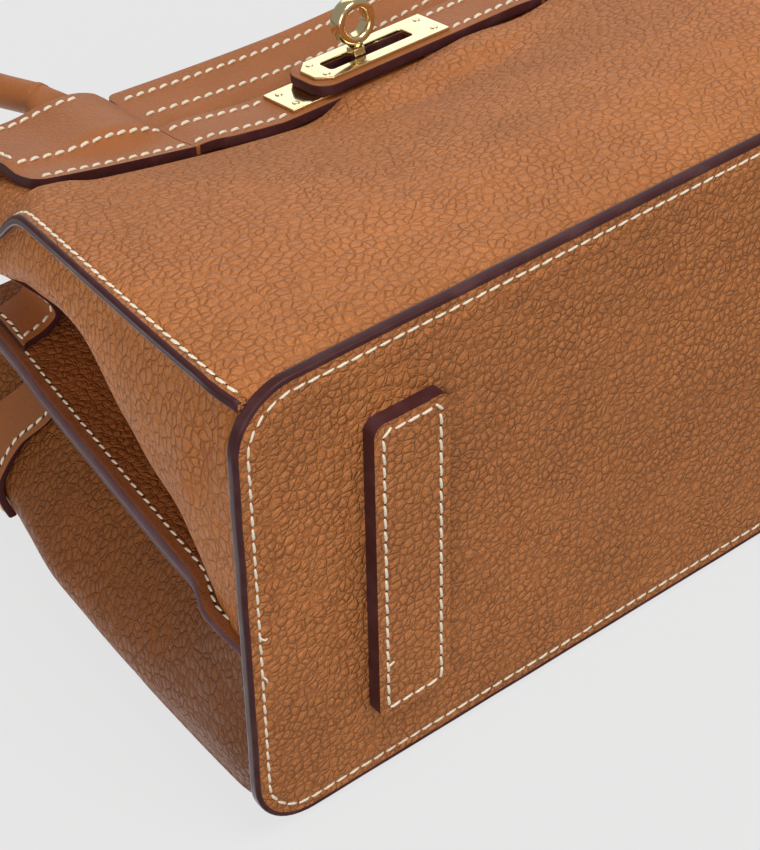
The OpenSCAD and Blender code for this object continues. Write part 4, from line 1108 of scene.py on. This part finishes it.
def tongue_n(ax, n):
    """Inner face of a tongue at the distance ax from the middle on its own side."""
    s = max(0, (ax - FLAT_X) / (HINGE_X - FLAT_X))
    rise = n + (HINGE_N - n - STRAP_T) * s * s
    return rise if ax <= FLAT_X else max(need(ax), rise)


def tongue_place(side, n, x, w, d):
    """Side -1 is the left tongue, which comes from -x; the end by its bend takes the wing's shape."""
    ax = -x
    p = Vector(lock(x if side < 0 else -x, tongue_n(ax, n) + d, w))
    k = sstep(45, HINGE_X, ax)
    if k > 0:
        h = STRAP_Z + w
        q = Vector(wing_place(side, max(HINGE_X + .15, ax), h, d))
        q.x = p.x
        p = p.lerp(q, k * .92)
    return tuple(p)


SLOT_X1 = RING_OD / 2 + 4.0
SLOT_X0 = -SLOT_X1 - 6.6
SLOT = rect(SLOT_X0, -2.8, SLOT_X1, 2.8, 1.0, 4)
PLATE_X0, PLATE_X1 = -PLATE_LEN + TIP - 2.0, TIP - 2.0
for side, sn, n in ((-1, "left", LEFT_N), (1, "right", RIGHT_N)):
    body = f"strap_{sn}_body"
    fn = lambda x, w, d, side=side, n=n: tongue_place(side, n, x, w, d)
    hh = STRAP_H / 2
    out = dense(rect(-HINGE_X - .1, -hh, TIP, hh, [0, 5.6, 5.6, 0], 9), 2.4)
    prism(f"strap_{sn}_leather", out, [SLOT], 0, STRAP_T, FLAT, bevel=.85, segs=4, cuts=lin(-56, -20, 24),
          cuts_y=lin(-hh + 2.6, hh - 2.6, 5), place=fn, body=body, hides=(f"strap_{sn}",),
          paint_at=lambda x, w: x > -HINGE_X + .5, square=lambda x: x < -HINGE_X + .3)
    for nm, w in (("low", -hh + 2.9), ("top", hh - 3.4)):
        rows = row_on(fn, [(x, w) for x in lin(-HINGE_X + .8, PLATE_X0 - 1.0, 40)], STRAP_T + LIFT)
        stitches(f"strap_{sn}_stitches_{nm}", rows, body, **SADDLE)

    # plate: polished, its free corners cut, with a slot and four riveted pins
    def pl(x, w, d, side=side, n=n):
        return lock(x if side < 0 else -x, n + STRAP_T + d, w)
    a, b, c = PLATE_X0, PLATE_X1, PLATE_CUT
    hp = PLATE_H / 2
    outline = fillet([(a, -hp), (b - c, -hp), (b, -hp + c), (b, hp - c), (b - c, hp), (a, hp)], .35, 3)
    prism(f"strap_plate_{sn}_polished", outline, [SLOT], .02, PLATE_T, BRASS, bevel=.22, segs=3, place=pl, body=body,
          slot="brass_plate", hides=(f"strap_plate_{sn}",))
    for i, x in enumerate((PLATE_X0 + 3.0, PLATE_X1 - 3.5)):
        for j, w in enumerate((-hp + 3.0, hp - 3.0)):
            prof = [(1.05, -.05), (1.03, .03), (.92, .13), (.6, .2), (.22, .24)]
            verts = turned(prof, 20, lambda r, q, z: lock((x + r) * -side, n + STRAP_T + PLATE_T + z, w + q))
            faces = tube(len(prof), 20, caps=False) + [tuple(range(len(verts) - 20, len(verts)))]
            orient(make(f"plate_pin_{sn}_{i}{j}", verts, faces, [GOLD], body, "brass_plate", (f"plate_pins_{sn}",)))

# lock base, post and turning ring
BASE_HALF, POST_HALF = 17, 1.8
BASE_N = max(need(BASE_HALF), 0)
prism("lock_base_plate", rect(-BASE_HALF, -PLATE_H / 2, BASE_HALF, PLATE_H / 2, 2.0, 6), [], 0, PLATE_T, BRASS,
      bevel=.22, place=lambda x, w, d: lock(x, BASE_N + d, w), slot="brass_plate", hides=("lock_base",))
prism("lock_post_square", rect(-POST_HALF, -POST_HALF, POST_HALF, POST_HALF, .3, 3), [], .4, COLLAR_N, BRASS,
      bevel=.25, place=lambda x, w, d: lock(x, d, w), slot="brass_plate", hides=("lock_post",))

# the ring turns about n; at rest its hole runs along w
R_MID, R_HALF, RING_STEPS, RING_SIDES = (RING_OD + RING_ID) / 4, (RING_OD - RING_ID) / 4, 20, 72
prof = []
for k in range(RING_STEPS):
    c, s = cos(2 * pi * k / RING_STEPS), sin(2 * pi * k / RING_STEPS)
    prof.append((R_MID + R_HALF * copysign(abs(c) ** .8, c), RING_T / 2 * copysign(abs(s) ** .62, s)))
verts = turned(prof, RING_SIDES, lambda a, b, z: lock(a, RING_N + b, z))
faces = tube(RING_STEPS, RING_SIDES, closed=True)
orient(make("lock_ring_polished", verts, faces, [GOLD], "lock_ring_body", "brass_plate", ("lock_ring",)))
prof = [(1.2, -5.0), (1.2, .3), (1.75, .32), (2.0, .5), (2.0, .95), (2.35, 1.5), (2.3, 1.9)]
prof = [(r, COLLAR_N + z) for r, z in prof]
verts, faces = turned(prof, 32, lambda a, b, z: lock(a, z, b)), tube(len(prof), 32, caps=False)
faces += [tuple(range(32)), tuple(len(verts) - 1 - k for k in range(32))]
orient(make("lock_ring_stem", verts, faces, [GOLD], "lock_ring_body", "brass_plate", ("lock_ring",)))


# inside
LIN_IN = LEATHER_T + GAP
LIN_H0, LIN_H1 = 5.2, BODY_H - LINING_T
FLOOR_TOP, FLOOR_LOW = 8.98, 8.22


def lining_x(h):
    return g_valley(min(h, GUSSET_H)) - 2 - LINING_T - 2 * GAP


for end, en, fy in ((-1, "front", front_y), (1, "back", back_y)):
    us = lin(-1, 1, 60)
    lx = lining_x if end < 0 else (lambda h: min(lining_x(h), wrap_x(h) + LINING_T))
    outer, inner = [], []
    for h in lin(LIN_H0, LIN_H1, 60):
        xs = [u * lx(h) for u in us]
        outer.append([P(x, end * (fy(x, h) - LIN_IN - .02), h) for x in xs])
        soft = [.12 * (1 + wob(u * 100, 0, h, 24, 30 + end)) for u in us]
        inner.append([P(x, end * (fy(x, h) - LIN_IN - LINING_T - t), h) for x, t in zip(xs, soft)])
    double(f"lining_{en}_skin", outer, inner, [LINING] * 3, (f"lining_{en}",), flip=end < 0, slot="lining")
for side, sn in LEFT_RIGHT:
    rows_o, rows_i = [], []
    for h in lin(LIN_H0, GUSSET_H - LINING_T, 50):
        xs = g_valley(h) - 2 - GAP
        y0 = -front_y(xs, h) + LIN_IN + LINING_T + GAP
        y1 = back_y(xs, h) - LIN_IN - LINING_T - GAP
        o_row, i_row = [], []
        for t in lin(0, 1, 30):
            y = y0 + (y1 - y0) * t
            end = -1 if y < RIDGE_Y else 1
            e0 = gusset_edge(h, end)
            k = LEATHER_T + 2 * GAP
            g = gusset_x(min(1, max(0, (y - e0) / (RIDGE_Y - e0))), h, end) - k
            if y > wrap_y(h):
                g = wrap_x(h) + (WRAP_R - k) * max(0, 1 - ((y - wrap_y(h)) / (wrap_out(h) - k)) ** 2) ** .5
            x = min(xs, g)
            o_row.append(P(side * x, y, h))
            i_row.append(P(side * (x - LINING_T - .2 * (1 + wob(0, y, h, 20, 40 + side))), y, h))
        rows_o.append(o_row)
        rows_i.append(i_row)
    double(f"lining_{sn}_skin", rows_o, rows_i, [LINING] * 3, (f"lining_{sn}",), flip=side > 0, slot="lining")

fx = g_valley(LIN_H0) - LIN_IN - LINING_T - 2.0
fy = back_edge(LIN_H0) - LIN_IN - LINING_T - GAP - 1.0
outline = dense(rect(-fx, -fy, fx, fy, BASE_R - 5, 8), 4)
n, ks = len(outline), lin(1, .02, 16)
verts = [(x * k, y * k, FLOOR_TOP - .12 * wob(x * k, y * k, 0, 30, 50) - .1) for k in ks for x, y in outline]
b = len(verts)
faces = tube(len(ks), n, caps=False) + [tuple(range(b - n, b))]
verts += [(x, y, FLOOR_LOW) for x, y in outline]
for j in range(n):
    faces.append((j, b + j, b + (j + 1) % n, (j + 1) % n))
faces.append(tuple(reversed(range(b, b + n))))
orient(make("lining_floor_skin", verts, faces, [LINING], slot="lining", hides=("lining_floor",)))

# slip pocket, a little open at its mouth
PW, PH, PZ = 130.0, 60.0, 36.0


def pocket_place(x, h, d):
    e = min(PW / 2 - abs(x), h - PZ)
    out = GAP + (2.0 - GAP) * sstep(.5, 7, e) + .35 * wob(x, 0, h, 22, 61) * sstep(3, 12, e)
    return P(x, -front_y(x, h) + LIN_IN + LINING_T + out + d, h)


prism("slip_pocket_skin", dense(rect(-PW / 2, PZ, PW / 2, PZ + PH, [4, 4, .8, .8], 5), 3),
      [], 0, 1.0, [LINING, PAINT], bevel=.3, segs=3, cuts=lin(-62, 62, 40), cuts_y=lin(PZ + 2, PZ + PH - 2, 16),
      place=pocket_place, slot="lining", hides=("slip_pocket",))
row = row_on(pocket_place, cup(-PW / 2 + 2, PW / 2 - 2, PZ + 2, PZ + PH - 1, 4, 8), 1.02)
stitches("slip_pocket_stitches", row, pitch=3.4, length=2.6, r=.3)

# the plane that the zip's frame lies on, the height of the zip's middle, the length of its coil and its pitch
ZIP_Y = 53.9438 + 1.6 + 1.4 + RUN + .8 + .4
ZZ, COIL, TOOTH = 112.0, 130, 1.75
zrun = lambda x, h, d: P(x, ZIP_Y - d, h)
around, window = (dense(rect(-x, ZZ - z, x, ZZ + z, 2.0, 5), 6) for x, z in ((75, 9), (70, 4)))
prism("zip_pocket_frame", around, [window], .1, 1.3, FLAT, bevel=.3, segs=3, place=zrun,
      hides=("zip_pocket",))
ring = dense(rect(-73, ZZ - 6.6, 73, ZZ + 6.6, 1.5, 4), 1.0)
stitches("zip_pocket_stitches", row_on(zrun, ring, 1.32), pitch=3.4, length=2.6, r=.3, closed=True)
prism("zip_tape", dense(rect(-69.7, ZZ - 3.7, 69.7, ZZ + 3.7, 1.0, 3), 4), [], 0.0, .4,
      [TAPE, TAPE], bevel=.08, segs=1, place=zrun, slot="lining", hides=("zip_coil",))
verts, faces = [], []
for i in range(int(COIL / TOOTH) + 1):
    x = -COIL / 2 + i * TOOTH
    z0, z1 = (-.75, 2.0) if i % 2 else (-2.0, .75)
    b = len(verts)
    for w, t, d in ((.6, 0, .38), (.42, .15, 1.1)):
        for dx, dz in ((-w, z0 + t), (w, z0 + t), (w, z1 - t), (-w, z1 - t)):
            verts.append(zrun(x + dx, ZZ + dz, d))
    for f in ((0, 1, 2, 3), (4, 7, 6, 5), (0, 4, 5, 1), (1, 5, 6, 2), (2, 6, 7, 3), (3, 7, 4, 0)):
        faces.append(tuple(b + k for k in f))
orient(make("zip_teeth", verts, faces, [GOLD_DULL], slot="brass_plate", hides=("zip_coil",), smooth=False))

# rigid CAD nodes that stay, with softened edges and their own finish
for name, mat, width in (("bottom_board", BOARD, .3), ("zip_slider", GOLD, .25), ("zip_puller", GOLD, .25)):
    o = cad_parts[name]
    o.data.materials.clear()
    o.data.materials.append(mat)
    bv = o.modifiers.new("edge", "BEVEL")
    bv.width, bv.segments, bv.limit_method, bv.angle_limit = width / 1000, 2, "ANGLE", radians(40)


# backdrop, light, camera
def stage_mat(name, grey, glow):
    """Seen by the camera only, so the two backdrop sheets neither block light nor reflect in the metal."""
    m, nt = blank(name)
    add, mix = node(nt, "AddShader"), node(nt, "MixShader")
    matt, own = node(nt, "BsdfDiffuse", Color=(grey, grey, grey, 1)), node(nt, "Emission", Color=(*glow, 1))
    nt.links.new(matt.outputs[0], add.inputs[0])
    nt.links.new(own.outputs[0], add.inputs[1])
    front = math_node(nt, "SUBTRACT", 1.0, node(nt, "NewGeometry").outputs["Backfacing"])
    shown = times(nt, node(nt, "LightPath").outputs["Is Camera Ray"], front)
    for i, v in enumerate((shown, node(nt, "BsdfTransparent").outputs[0], add.outputs[0])):
        nt.links.new(v, mix.inputs[i])
    nt.links.new(mix.outputs[0], node(nt, "OutputMaterial").inputs[0])
    return m


BACKDROP = stage_mat("backdrop_paper", .08, (.727, .727, .727))


def stage_plane(name, corners):
    me = bpy.data.meshes.new(name)
    me.from_pydata(corners, [], [(0, 1, 2, 3)])
    me.materials.append(BACKDROP)
    return link(name, me)


FAR, WALL_Y, FLOOR_Z = 6, .0668, -.0002
corners = [(-FAR, -FAR), (FAR, -FAR), (FAR, FAR), (-FAR, FAR)]
staged = [stage_plane("backdrop_behind", [(x, WALL_Y, z) for x, z in corners]),
          stage_plane("floor_paper", [(x, y, FLOOR_Z) for x, y in corners])]


def area(name, loc, target, size, power, colour=(1, 1, 1)):
    li = bpy.data.lights.new(name, "AREA")
    li.energy, li.size, li.color = power, size, colour
    o = link(name, li)
    o.location = loc
    o.rotation_euler = (Vector(target) - Vector(loc)).to_track_quat("-Z", "Y").to_euler()
    staged.append(o)


area("key_softbox", (.15, -1.5, -.42), (0, 0, .08), .9, 14.5, (1, .985, .96))
area("fill_low", (-1.05, -.6, -1.0), (0, 0, .05), 1.0, 10.5, (1, .985, .96))
area("top_softbox", (.75, -.5, 1.2), (0, -.03, .1), .9, 3.5)
area("back_top", (-.3, 1.3, .9), (0, 0, .1), 1.2, 7)
world = bpy.data.worlds.new("studio")
bpy.context.scene.world = world
world.use_nodes = True
bg = world.node_tree.nodes["Background"]
bg.inputs[0].default_value = (.93, .935, .94, 1)
bg.inputs[1].default_value = .38

# the camera fitted to the photograph: its rotation's rows, its translation in mm, its focal length in pixels
FOCAL_PX, PICTURE_PX, SENSOR = 2425.87, 850, 36
R0, R1, R2 = Vector((.779, .016, -.627)), Vector((-.409, .771, -.489)), Vector((.475, .637, .607))
R2.normalize()
R0 = (R0 - R2 * R0.dot(R2)).normalized()
R1 = R2.cross(R0).normalized()
T = Vector((68.434522, -4.594890, 582.221787))
C = -(R0 * T.x + R1 * T.y + R2 * T.z)
M = Matrix.Identity(4)
for i in range(3):
    M[i][0], M[i][1], M[i][2] = R0[i], -R1[i], -R2[i]
M.translation = (C.x / 1000, C.y / 1000, (C.z + FOOT_T) / 1000)
cam = bpy.data.cameras.new("camera")
camera = link("camera", cam)
camera.matrix_world = M
cam.sensor_width = SENSOR
cam.lens = FOCAL_PX / PICTURE_PX * SENSOR
cam.clip_start = .01
bpy.context.scene.camera = camera
bpy.context.scene.view_settings.view_transform = "Standard"
